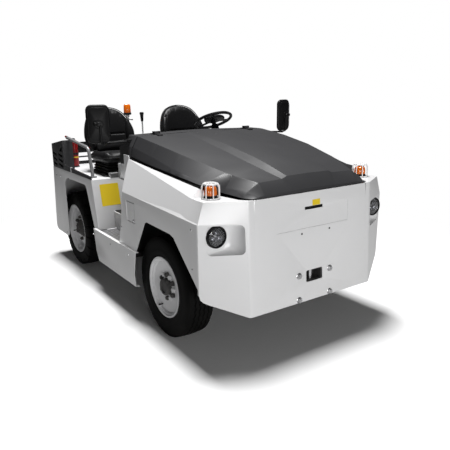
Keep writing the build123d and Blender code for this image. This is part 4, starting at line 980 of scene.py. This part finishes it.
def cushion_shape():
    points, faces = pad(oblong(CUSHION_L, SEAT_W - 0.012, 0.075, 8), CUSHION_T, 0.032, 0.006)
    x, y, z = points.T
    top = np.clip(z / 0.03, 0, 1)
    bolster = np.clip((np.abs(y) - 0.135) / 0.05, 0, 1) ** 2 * 0.010
    roll = dent(x - CUSHION_L / 2 + 0.060, 0.050) * 0.008
    z = z + top * (bolster + roll - 0.012 * np.clip(-x / 0.2, 0, 1))
    return np.column_stack([x, y, z]), faces


shape = moved(cushion_shape(), (CUSHION_X, SEAT_Y, SEAT_Z + CUSHION_T / 2 + 0.002))


def cushion_seams(points):
    x, y, z = (points - (CUSHION_X, SEAT_Y, SEAT_Z)).T
    top = np.clip((z - 0.05) / 0.02, 0, 1)
    inner = np.clip((0.150 - np.abs(y)) / 0.02, 0, 1)
    sewn = dent(np.abs(y) - 0.140, 0.007) * np.clip((x + 0.17) / 0.03, 0, 1) * np.clip((0.150 - x) / 0.02,
                                                                                       0, 1)
    across = dent(x - 0.085, 0.007) * inner + dent(x + 0.060, 0.007) * inner
    side = dent(z - 0.012, 0.005) * np.clip(np.hypot(x / 0.20, y / 0.22) - 0.8, 0, 1)
    drop = top * 0.008 * np.maximum(sewn, across)
    inward = np.column_stack([-x, -y, np.zeros_like(x)]) * (side * 0.010)[:, None]
    return points + inward - np.column_stack([np.zeros_like(x), np.zeros_like(x), drop])


cushion = foam("seat_cushion_left", shape, 0.007, cushion_seams)

# %% Back: a wide dome that curls forward at its sides
BACK_LEAN = 0.24
BACK_FOOT, BACK_HALF_W = 0.065, 0.236
CURL, CURL_POWER = 0.040, 2.6
BACK_LINE = [(0.0, 0.055), (0.150, 0.066), (0.212, 0.108), (0.236, 0.180), (0.232, 0.250), (0.208, 0.325),
             (0.170, 0.388), (0.105, 0.434), (0.0, 0.452)]
BACK_X = REAR_X + 0.218


def on_back(points, curl):
    """Local (across, up, forward) onto the leaning back: the forward curl is curl |w / W|^2.6."""
    w, h, d = np.asarray(points, float).T
    bend = curl * np.abs(w / BACK_HALF_W) ** CURL_POWER
    return np.column_stack([BACK_X + d + bend - BACK_LEAN * (h - BACK_FOOT), SEAT_Y + w, SEAT_Z + h])


half = np.array(BACK_LINE)
back_line = rounded_line(np.concatenate([half, (half[1:-1] * (-1, 1))[::-1]]), 6)
shape = pad(back_line, 0.066, 0.033, 0.006, False)
back_shape = on_back(shape[0], CURL), shape[1]


def back_seams(points):
    w = points[:, 1] - SEAT_Y
    h = points[:, 2] - SEAT_Z
    d = points[:, 0] - BACK_X + BACK_LEAN * (h - BACK_FOOT)
    front = np.clip((d - 0.012 - CURL * np.abs(w / BACK_HALF_W) ** CURL_POWER) / 0.012, 0, 1)
    lens_line = 0.150 + 0.030 * np.sin(math.pi * np.clip((h - 0.10) / 0.30, 0, 1))
    upright = dent(np.abs(w) - lens_line, 0.007) * np.clip((0.375 - h) / 0.03, 0, 1)
    level = dent(h - 0.215, 0.007) * np.clip((0.150 - np.abs(w)) / 0.02, 0, 1)
    return points - np.column_stack([front * 0.009 * np.maximum(upright, level), w * 0, w * 0])


back = foam("seat_back_left", back_shape, 0.006, back_seams)

# %% Lumbar roll and the two leaf-shaped wings
roll = pad(oblong(0.315, 0.100, 0.040, 8), 0.054, 0.024, 0.008)
shape = on_back(roll[0] + (0, 0.108, 0.056), 0.020), roll[1]
lumbar = foam("seat_lumbar_left", shape, 0.006, lambda points: points)
LEAF_H, LEAF_W, LEAF_TURN = 0.270, 0.052, math.radians(38)
t = np.linspace(0, 1, 25)[:-1]
up_side = np.column_stack([LEAF_W * np.sin(math.pi * t) ** 0.8, LEAF_H * (t - 0.5)])
down_side = np.column_stack([-LEAF_W * 0.85 * np.sin(math.pi * t) ** 0.8, LEAF_H * (0.5 - t)])
leaf = pad(np.concatenate([up_side, down_side]), 0.040, 0.016, 0.010)
wings = []
for side in (1, -1):
    w, h, d = leaf[0].T
    across = side * (0.186 + w * math.cos(LEAF_TURN) - d * math.sin(LEAF_TURN))
    ahead = 0.052 + w * math.sin(LEAF_TURN) + d * math.cos(LEAF_TURN)
    faces = leaf[1] if side > 0 else [face[::-1] for face in leaf[1]]
    wings.append((on_back(np.column_stack([across, h + 0.215, ahead]), 0.0), faces))
wing_piece = foam("seat_wings_left", joined(*wings), 0.004, lambda points: points)

# %% Piping, the plastic shell behind, and the folded base
edge_points = np.column_stack([back_line, np.full(len(back_line), 0.004)])
piping = tube(on_back(edge_points * (1.006, 1.0, 1.0), 0.040), 0.0042, 8, True)
cushion_edge = oblong(CUSHION_L + 0.002, SEAT_W - 0.010, 0.075, 8)
line = np.column_stack([cushion_edge, np.full(len(cushion_edge), 0.0)])
piping = joined(piping, tube(line + (CUSHION_X, SEAT_Y, SEAT_Z + 0.046), 0.0040, 8, True))
rear_shell = pad(back_line * (0.94, 0.97) + (0, 0.008), 0.014, 0.006, 0.012, False)
rear_shell = on_back(rear_shell[0] - (0, 0, 0.040), 0.034), rear_shell[1]


def folded_base():
    """A bellows: each ring of the outline steps in and out by FOLD as it climbs."""
    FOLD, STEPS = 0.013, 9
    rings = []
    for k in range(STEPS):
        share = k / (STEPS - 1)
        inset = FOLD * (k % 2) + 0.010 * share
        outline = oblong(0.405 - 2 * inset, 0.415 - 2 * inset, 0.045, 5)
        rings.append(np.column_stack([outline, np.full(len(outline), 0.020 + 0.090 * share)]))
    n = len(rings[0])
    faces = grid_faces(STEPS, n, False, True)
    faces += [list(range(n))[::-1], list(range((STEPS - 1) * n, STEPS * n))]
    return np.concatenate(rings) + (CUSHION_X - 0.004, SEAT_Y - 0.010, DECK_Z), faces


runners = joined(*[block((CUSHION_X - 0.20, SEAT_Y + y - 0.018, DECK_Z),
                         (CUSHION_X + 0.19, SEAT_Y + y + 0.018, DECK_Z + 0.022))
                   for y in (-0.150, 0.130)])
piece("seat_piping", both(piping), "seat_cover", smooth=60)
shells = piece("seat_shells", both(rear_shell), "plastic_black", smooth=60)
bases = piece("seat_base_folds", both(folded_base()), "rubber_black", smooth=25)
piece("seat_runners", both(runners), "black_paint")
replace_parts(bases, "seat_bases")


# %% The other seat is the mirror image
def mirror_piece(thing, name):
    mesh = thing.data.copy()
    mesh.name = name
    work = bmesh.new()
    work.from_mesh(mesh)
    for vert in work.verts:
        vert.co.y = -vert.co.y
    bmesh.ops.reverse_faces(work, faces=work.faces)
    work.to_mesh(mesh)
    work.free()
    made = bpy.data.objects.new(name, mesh)
    bpy.context.scene.collection.objects.link(made)
    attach(made, "tug")
    return made


for thing in (cushion, back, lumbar, wing_piece):
    mirror_piece(thing, thing.name.replace("_left", "_right"))
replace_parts(cushion, "seats")
print("seat cushion points:", len(cushion.data.vertices))

# %% [markdown]
# ## Small parts on the deck
# Levers, the extinguisher, the lamp's post and the belt buckles are simple turned parts and bent
# tubes. Colour does most of the work here: red, white and black marks are what the eye finds first.

# %% Hitch lever: a white rod with a black grip that widens towards its top
RAIL_GREY = finish("rail_grey", (0.20, 0.20, 0.205), 0.34, grain_size=420.0, bump=0.12, dusty=0.06,
                   worn=(0.40, 0.40, 0.40), coat=0.2)
NODES["grab_rails"].material_slots[0].material = RAIL_GREY
UPRIGHT = (0.0, 0.0, 1.0)
lever_low = np.array([REAR_X + 0.129, 0.0, DECK_Z])
lever_top = lever_low + (-0.015, 0.0, 0.426)
lean = lever_top - lever_low
rod_piece = piece("hitch_lever_rod", tube([lever_low, lever_top], 0.0072, 14), "white_paint",
                  material=PLAIN_WHITE)
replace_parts(rod_piece, "hitch_lever")
grip = turned([(0, -0.004), (0.0095, -0.004), (0.0125, 0.002), (0.0165, 0.056), (0.0205, 0.070),
               (0.0200, 0.079), (0.0140, 0.0845), (0, 0.0855)], lever_top, lean, 24)
piece("hitch_lever_grip", grip, "plastic_black", smooth=45)
boot = [(0, 0.0), (0.030, 0.0), (0.026, 0.008), (0.029, 0.014), (0.021, 0.022), (0.024, 0.028),
        (0.016, 0.038), (0.010, 0.050), (0, 0.050)]
piece("hitch_lever_boot", turned(boot, lever_low, lean, 28), "rubber_black", smooth=30)

# %% Extinguisher with its band, head, hose and bracket
ext_at = np.array([REAR_X - 0.166, -(FENDER_Y - 0.157), DECK_Z])
bottle = turned([(0, 0.004), (0.030, 0.004), (0.0335, 0.010), (0.0335, 0.234), (0.030, 0.250),
                 (0.016, 0.261), (0.012, 0.264), (0, 0.264)], ext_at, UPRIGHT, 32)
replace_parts(piece("extinguisher_bottle", bottle, "red_paint", smooth=45), "extinguisher")
band = turned([(0.0330, 0.092), (0.0345, 0.092), (0.0345, 0.102), (0.0330, 0.102)], ext_at, UPRIGHT, 32)
piece("extinguisher_band", band, "red_paint", material=YELLOW)
valve = joined(turned([(0, 0.262), (0.011, 0.262), (0.011, 0.272), (0, 0.272)], ext_at, UPRIGHT, 16),
               block(ext_at + (-0.028, -0.006, 0.270), ext_at + (0.018, 0.006, 0.276)))
hose_t = np.linspace(0, 1, 14)
hose = np.stack([-0.012 - 0.030 * np.sin(math.pi * hose_t), 0.004 * np.ones(14), 0.270 - 0.130 * hose_t], 1)
piece("extinguisher_valve", joined(valve, tube(ext_at + hose, 0.0052, 10)), "plastic_black")
bracket = joined(turned([(0.0340, 0.120), (0.0362, 0.120), (0.0362, 0.140), (0.0340, 0.140)], ext_at,
                        UPRIGHT, 28),
                 turned([(0, 0), (0.036, 0), (0.036, 0.012), (0.034, 0.012), (0.034, 0.004), (0, 0.004)],
                        ext_at, UPRIGHT, 28))
piece("extinguisher_bracket", bracket, "black_paint")

# %% Red release grip on the rail, belt buckles, and the grey block beside the seat
rail_start = np.array([REAR_X - 0.036, -(FENDER_Y - 0.057), DECK_Z + 0.296])
grip_path = [rail_start + (0.004, 0, 0), rail_start + (-0.022, 0, 0.002), rail_start + (-0.048, 0, 0.009)]
piece("release_grip", tube(grip_path, [0.0075, 0.0080, 0.0090], 14), "red_paint")
piece("rail_end_caps",
      both(tube([rail_start + (-0.010, 0, 0.001), rail_start + (0.006, 0, -0.001)], 0.0150, 20)),
      "rubber_black")
buckle_at = np.array([AXLE_X - 1.600, -0.612, DECK_Z + 0.205])
stalk = tube([buckle_at + (-0.030, 0.010, -0.110), buckle_at + (-0.012, 0.004, -0.050),
              buckle_at + (0, 0, -0.010)],
             0.0065, 10)
button = plate(oblong(0.026, 0.046, 0.006), 0.016, buckle_at + (0.004, 0, 0.006), (0, 1.0, 0),
               (0.3, 0, 0.954))
press = plate(oblong(0.018, 0.018, 0.003), 0.004, buckle_at + (0.014, 0, 0.016), (0, 1.0, 0),
              (0.3, 0, 0.954))
piece("belt_stalks", both(joined(stalk, button)), "plastic_black")
piece("belt_buttons", both(press), "red_paint")
block_at = np.array([AXLE_X - 1.205, -0.546, DECK_Z])
step_block = moved(plate(oblong(0.052, 0.075, 0.008), 0.038, (0, 0, 0.020), (1.0, 0, 0), (0, 1.0, 0)),
                   block_at)
piece("latch_block", step_block, "black_paint", material=RAIL_GREY, bevel=0.003)

# %% Beacon post: white sleeve with a small clamp
post_at = BEACON_AT - (0, 0, 0.010)
sleeve = turned([(0, -0.078), (0.0150, -0.078), (0.0165, -0.074), (0.0165, -0.034), (0.0150, -0.030),
                 (0, -0.030)],
                post_at, UPRIGHT, 24)
piece("beacon_sleeve", sleeve, "white_paint")
clamp = joined(tube([post_at + (0, 0, -0.050), post_at + (0.004, 0.050, -0.052)], 0.0042, 10),
               turned([(0, 0), (0.010, 0), (0.010, 0.010), (0, 0.010)], post_at + (0.004, 0.046, -0.058),
                      UPRIGHT, 16))
piece("beacon_clamp", clamp, "plastic_black")

# %% Bare stickers, the lock of the flap, and sheets under the steps
WALL_LEAN = 0.094 / (DECK_Z - STEP_Z - 0.002)
WALL_OUT = np.array([1.0, 0.0, WALL_LEAN]) / math.hypot(1.0, WALL_LEAN)
WALL_UP = np.array([-WALL_LEAN, 0.0, 1.0]) / math.hypot(1.0, WALL_LEAN)


def on_wall(y, z, proud=0.0):
    """A point on the leaning wall in front of the rear wheel."""
    return np.array([REAR_X + 0.684 + WALL_LEAN * (DECK_Z - z), y, z]) + WALL_OUT * proud


card = plate(oblong(0.164, 0.184, 0.004), 0.0010, on_wall(-0.612, 0.792, 0.0006), ALONG_Y, WALL_UP)
piece("wall_sticker", card, "red_paint", material=YELLOW)
SIDE_OUT = (0.0, -1.0, 0.0)
disc = turned([(0, 0), (0.024, 0), (0.024, 0.0010), (0, 0.0010)],
              (AXLE_X - 0.372, -SIDE_Y - 0.0002, 0.7945), SIDE_OUT, 32)
piece("flap_sticker", disc, "white_paint", material=PLAIN_WHITE)
lock = turned([(0, 0), (0.011, 0), (0.011, 0.003), (0.007, 0.005), (0, 0.005)],
              (AXLE_X - 0.330, -SIDE_Y + 0.0005, 0.7520), SIDE_OUT, 20)
piece("flap_lock", lock, "pin_steel", "charging_flap")
# the photograph does not show these sheets: they keep light from falling through to the floor
shade_sheets = block((AXLE_X - 0.840, -0.775, STEP_Z - 0.040), (AXLE_X - 0.430, -0.575, STEP_Z - 0.037))
piece("under_step_sheets", both(shade_sheets), "black_paint")
print("deck parts and stickers made")

# %% [markdown]
# ## Panels' fixings and the coachwork's small marks
# Screw heads, tabs on the deck's low strips, chequer plate on the steps and ribs on the mat. They give
# the eye a measure for the size of the whole, so their real size matters more than their shape.

# %% Chequer plate on the steps: lozenges that turn by turns
step_low, step_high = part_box("step_plates")
LOZENGE_L, LOZENGE_W, LOZENGE_H, PITCH = 0.015, 0.0045, 0.0016, 0.026


def lozenge(at, turned_over):
    """Six points and a flat top: x = L cos a, y = W sin a, turned by 45 degrees either way."""
    a = np.arange(6) * TURN / 6
    low = np.stack([LOZENGE_L * np.cos(a), LOZENGE_W * np.sin(a), 0 * a], 1)
    top = low * 0.72 + (0, 0, LOZENGE_H)
    c = math.sqrt(0.5)
    turn = (np.array([[c, -c, 0], [c, c, 0], [0, 0, 1]]) if turned_over
                else np.array([[c, c, 0], [-c, c, 0], [0, 0, 1]]))
    points = np.concatenate([low, top]) @ turn.T
    faces = [[i, (i + 1) % 6, 6 + (i + 1) % 6, 6 + i] for i in range(6)] + [list(range(6, 12))]
    return moved((points, faces), at)


rows = np.arange(step_low.x + 0.050, step_high.x - 0.015, PITCH)
columns = np.arange(0.612, 0.770, PITCH)
chequers = [lozenge((x, -y, STEP_Z), (i + j) % 2 == 0)
            for i, x in enumerate(rows) for j, y in enumerate(columns)]
piece("step_chequers", both(joined(*chequers)), "tread_plate", smooth=20)

# %% Mat ribs, screws on the body, and tabs on the deck's low strips
mat_low, mat_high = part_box("floor_mat")
ribs = [block((mat_low.x + 0.140, y - 0.004, mat_high.z - 0.001),
              (mat_high.x - 0.040, y + 0.004, mat_high.z + 0.003))
        for y in np.arange(-0.560, 0.561, 0.035)]
piece("mat_ribs", joined(*ribs), "rubber_black")
dome = [(0, 0), (0.0070, 0), (0.0066, 0.002), (0.0038, 0.0038), (0, 0.0042)]
fender_spots = [(REAR_X + x, -FENDER_Y, z) for x, z in ((0.080, 0.858), (-0.180, 0.845), (-0.290, 0.845),
                                                       (-0.345, 0.420), (-0.120, 0.300))]
skirt_spots = [(AXLE_X + x, -SIDE_Y - 0.020, STEP_Z - 0.030) for x in (-1.130, -0.760, -0.420)]
corner_spots = [(AXLE_X + x, -SIDE_Y, z) for x, z in ((0.470, 0.620), (0.470, 0.860), (-0.560, 0.660))]
screws = joined(*[turned(dome, at, SIDE_OUT, 12) for at in fender_spots + skirt_spots + corner_spots])
piece("body_screws", both(screws), "pin_steel")
gap_cover = block((REAR_X + 0.158, -FENDER_Y - 0.0010, DECK_Z - 0.008),
                  (REAR_X + 0.180, -FENDER_Y + 0.012, DECK_Z + 0.046))
piece("strip_tabs", both(gap_cover), "white_paint")
print("fixings made")

# %% [markdown]
# ## Steering wheel
# The driver's place is mostly black, so the boss in the wheel's middle is dished, and its rim
# catches a line of light.

# %% Steering wheel boss
TILT = math.radians(26.0)
WHEEL_MID = np.array([AXLE_X - 1.050, 0.373, 1.370])
SHAFT_UP = np.array([-math.sin(TILT), 0.0, math.cos(TILT)])
boss = turned([(0, 0.012), (0.038, 0.012), (0.044, 0.016), (0.045, 0.024), (0.038, 0.033), (0.020, 0.037),
               (0, 0.038)],
              WHEEL_MID, SHAFT_UP, 32)
piece("wheel_boss", boss, "plastic_black", "steering_wheel", 40)

# %% [markdown]
# ## Mirrors, lamp cages and the steering wheel's pad
# These stand free against white, so only their outlines and their thickness count. The mirror's back
# is a shallow dome with a panel line and a round boss. The cage has eight bent wires between rings.

# %% Mirrors
MIRROR_AT = np.array([AXLE_X - 0.650, SIDE_Y + 0.087, NOSE_TOP_Z + 0.385])
MIRROR_W, MIRROR_H = 0.166, 0.272
MIRROR_TURN = math.radians(15)
MIRROR_AXES = np.array([[-math.sin(MIRROR_TURN), math.cos(MIRROR_TURN), 0], [0, 0, 1],
                        [math.cos(MIRROR_TURN), math.sin(MIRROR_TURN), 0]]).T
mirror_line = oblong(MIRROR_W, MIRROR_H, 0.042, 8)
shell = pad(mirror_line, 0.026, 0.012, 0.017)
line = np.column_stack([mirror_line * 0.84, np.full(len(mirror_line), 0.0185)])
boss = turned([(0, 0.028), (0.034, 0.027), (0.034, 0.031), (0.028, 0.034), (0.014, 0.034), (0.016, 0.041),
               (0.012, 0.049), (0, 0.052)], (0, 0, 0), (0, 0, 1), 28)
knob = turned([(0, 0.0), (0.006, 0), (0.006, 0.016), (0.012, 0.018), (0.012, 0.028), (0, 0.030)],
              (0.006, 0.004, 0.036), (1, 0, 0.35), 16)
head = joined(shell, tube(line, 0.0013, 6, True), boss, knob)
glass = plate(oblong(MIRROR_W - 0.016, MIRROR_H - 0.016, 0.034, 6), 0.002, (0, 0, -0.0142), (1, 0, 0),
              (0, 1, 0))
arm_line = [(AXLE_X - 0.690, SIDE_Y - 0.171, 1.262), (AXLE_X - 0.650, SIDE_Y - 0.118, 1.276),
            (AXLE_X - 0.622, SIDE_Y + 0.060, 1.268), (AXLE_X - 0.616, SIDE_Y + 0.083, 1.276),
            (AXLE_X - 0.612, SIDE_Y + 0.087, 1.300), (AXLE_X - 0.610, SIDE_Y + 0.087, 1.404)]
foot = block((AXLE_X - 0.712, SIDE_Y - 0.191, 1.240), (AXLE_X - 0.672, SIDE_Y - 0.131, 1.284))
placed = joined(moved(head, MIRROR_AT, MIRROR_AXES), tube(arm_line, 0.0075, 12), foot)
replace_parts(piece("mirror_heads", both(placed), "plastic_black", smooth=42), "mirrors")
glasses = piece("mirror_panes", both(moved(glass, MIRROR_AT, MIRROR_AXES)), "mirror_glass")
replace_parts(glasses, "mirror_glasses")

# %% Lamp cages
CAGE_R, CAGE_TOP_R, CAGE_H, CAGE_WIRES = 0.055, 0.047, 0.088, 8
around = np.arange(32) * TURN / 32
rings = [tube(TURN_AT + np.column_stack([r * np.cos(around), r * np.sin(around), np.full(32, z)]), 0.0048,
              8, True)
         for r, z in ((CAGE_R, 0.005), (CAGE_TOP_R - 0.006, CAGE_H), (0.016, CAGE_H + 0.003))]
rise = [(CAGE_R, 0.004), (CAGE_R, 0.050), (CAGE_R - 0.001, 0.072), (CAGE_TOP_R, 0.085),
        (CAGE_TOP_R - 0.012, CAGE_H + 0.002), (0.016, CAGE_H + 0.003)]
wires = [tube(TURN_AT + np.array([(r * math.cos(a), r * math.sin(a), z) for r, z in rise]), 0.0036, 8)
         for a in (np.arange(CAGE_WIRES) + 0.35) * TURN / CAGE_WIRES]
cages = piece("lamp_cages", both(joined(*rings, *wires)), "white_paint", smooth=60)
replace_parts(cages, "lamp_guards")

# %% The pad over the steering wheel's spokes
ACROSS = np.array([math.cos(TILT), 0.0, math.sin(TILT)])
pad_line = rounded_line([(-0.045, 0.060), (-0.060, 0.0), (-0.045, -0.060), (0.030, -0.105), (0.075, -0.060),
                         (0.088, 0.0), (0.075, 0.060), (0.030, 0.105)], 5)
wheel_pad = pad(pad_line, 0.028, 0.010, 0.010)
turn = np.stack([ACROSS, np.array([0.0, 1.0, 0.0]), SHAFT_UP], 1)
piece("wheel_pad", moved(wheel_pad, WHEEL_MID + SHAFT_UP * 0.006, turn), "plastic_black", "steering_wheel",
      50)

# %% Dash: its lower sheet without the outer flaps
DASH_HALF_W = 0.599
dash = softened("dash_support", 0.003)
cut_sides(dash.data, DASH_HALF_W)
print("mirrors, cages and pad made")

# %% [markdown]
# ## Studio
# The tug stands on a white floor that runs into a white surround. The light is one soft panel high
# overhead, a little behind the middle, which leaves a dark patch under the body, and a weaker one
# in front. The floor turns white only for the camera, by Light Path, so its shade stays.

# %% Floor and world
FADE_START, FADE_END = 1.9, 3.4
FLOOR_BOUNCE, FLOOR_SEEN = 0.33, 0.93
FLOOR_HALF = 40.0


def studio_material():
    material = bpy.data.materials.new("studio_floor")
    material.use_nodes = True
    tree = material.node_tree
    shader = tree.nodes["Principled BSDF"]
    speck = noise_node(tree, 14.0, 3.0)
    tree.links.new(math_node(tree, "MULTIPLY_ADD", speck, 0.05, 0.62), shader.inputs["Roughness"])
    path = tree.nodes.new("ShaderNodeLightPath")
    direct = math_node(tree, "MAXIMUM", path.outputs["Is Camera Ray"], path.outputs["Is Transmission Ray"])
    shade = mix_node(tree, direct, (FLOOR_BOUNCE, FLOOR_BOUNCE, FLOOR_BOUNCE, 1),
                     (FLOOR_SEEN, FLOOR_SEEN, FLOOR_SEEN, 1))
    tree.links.new(shade, shader.inputs["Base Color"])
    shader.inputs["Specular IOR Level"].default_value = 0.10
    place = tree.nodes.new("ShaderNodeTexCoord")
    reach = tree.nodes.new("ShaderNodeVectorMath")
    reach.operation = "LENGTH"
    tree.links.new(place.outputs["Object"], reach.inputs[0])
    fade = tree.nodes.new("ShaderNodeMapRange")
    fade.interpolation_type = "SMOOTHSTEP"
    set_inputs(fade, {"From Min": FADE_START, "From Max": FADE_END})
    tree.links.new(reach.outputs["Value"], fade.inputs["Value"])
    glow = tree.nodes.new("ShaderNodeEmission")
    blend = tree.nodes.new("ShaderNodeMixShader")
    tree.links.new(math_node(tree, "MULTIPLY", fade.outputs["Result"], direct), blend.inputs["Fac"])
    tree.links.new(shader.outputs[0], blend.inputs[1])
    tree.links.new(glow.outputs[0], blend.inputs[2])
    tree.links.new(blend.outputs[0], tree.nodes["Material Output"].inputs["Surface"])
    return material


floor_points = [(-FLOOR_HALF, -FLOOR_HALF, 0), (FLOOR_HALF, -FLOOR_HALF, 0),
                (FLOOR_HALF, FLOOR_HALF, 0), (-FLOOR_HALF, FLOOR_HALF, 0)]
floor_mesh = bpy.data.meshes.new("studio_floor")
floor_mesh.from_pydata(floor_points, [], [[0, 1, 2, 3]])
floor_mesh.materials.append(studio_material())
floor_object = bpy.data.objects.new("studio_floor", floor_mesh)
bpy.context.scene.collection.objects.link(floor_object)

world = bpy.data.worlds.new("studio")
bpy.context.scene.world = world
world.use_nodes = True
tree = world.node_tree
background = tree.nodes["Background"]
background.inputs["Color"].default_value = (1, 1, 1, 1)
path = tree.nodes.new("ShaderNodeLightPath")
seen = math_node(tree, "MAXIMUM", path.outputs["Is Camera Ray"], path.outputs["Is Transmission Ray"])
AMBIENT = 0.028
tree.links.new(math_node(tree, "MULTIPLY_ADD", seen, 1.0 - AMBIENT, AMBIENT), background.inputs["Strength"])


# %% Lamps
def softbox(name, place, aim, size, power):
    data = bpy.data.lights.new(name, "AREA")
    data.shape = "RECTANGLE"
    data.size, data.size_y = size
    data.energy = power
    lamp = bpy.data.objects.new(name, data)
    bpy.context.scene.collection.objects.link(lamp)
    lamp.location = place
    lamp.rotation_euler = (Vector(aim) - Vector(place)).to_track_quat("-Z", "Y").to_euler()
    return lamp


softbox("overhead", (-0.46, 0.0, 9.0), (-0.46, 0.0, 0.0), (2.8, 2.0), 1380.0)
softbox("front", (6.8, -1.2, 0.90), (0.8, -0.2, 0.75), (4.0, 1.3), 196.0)
bpy.context.scene.view_settings.view_transform = "Standard"

# %% The end
import json
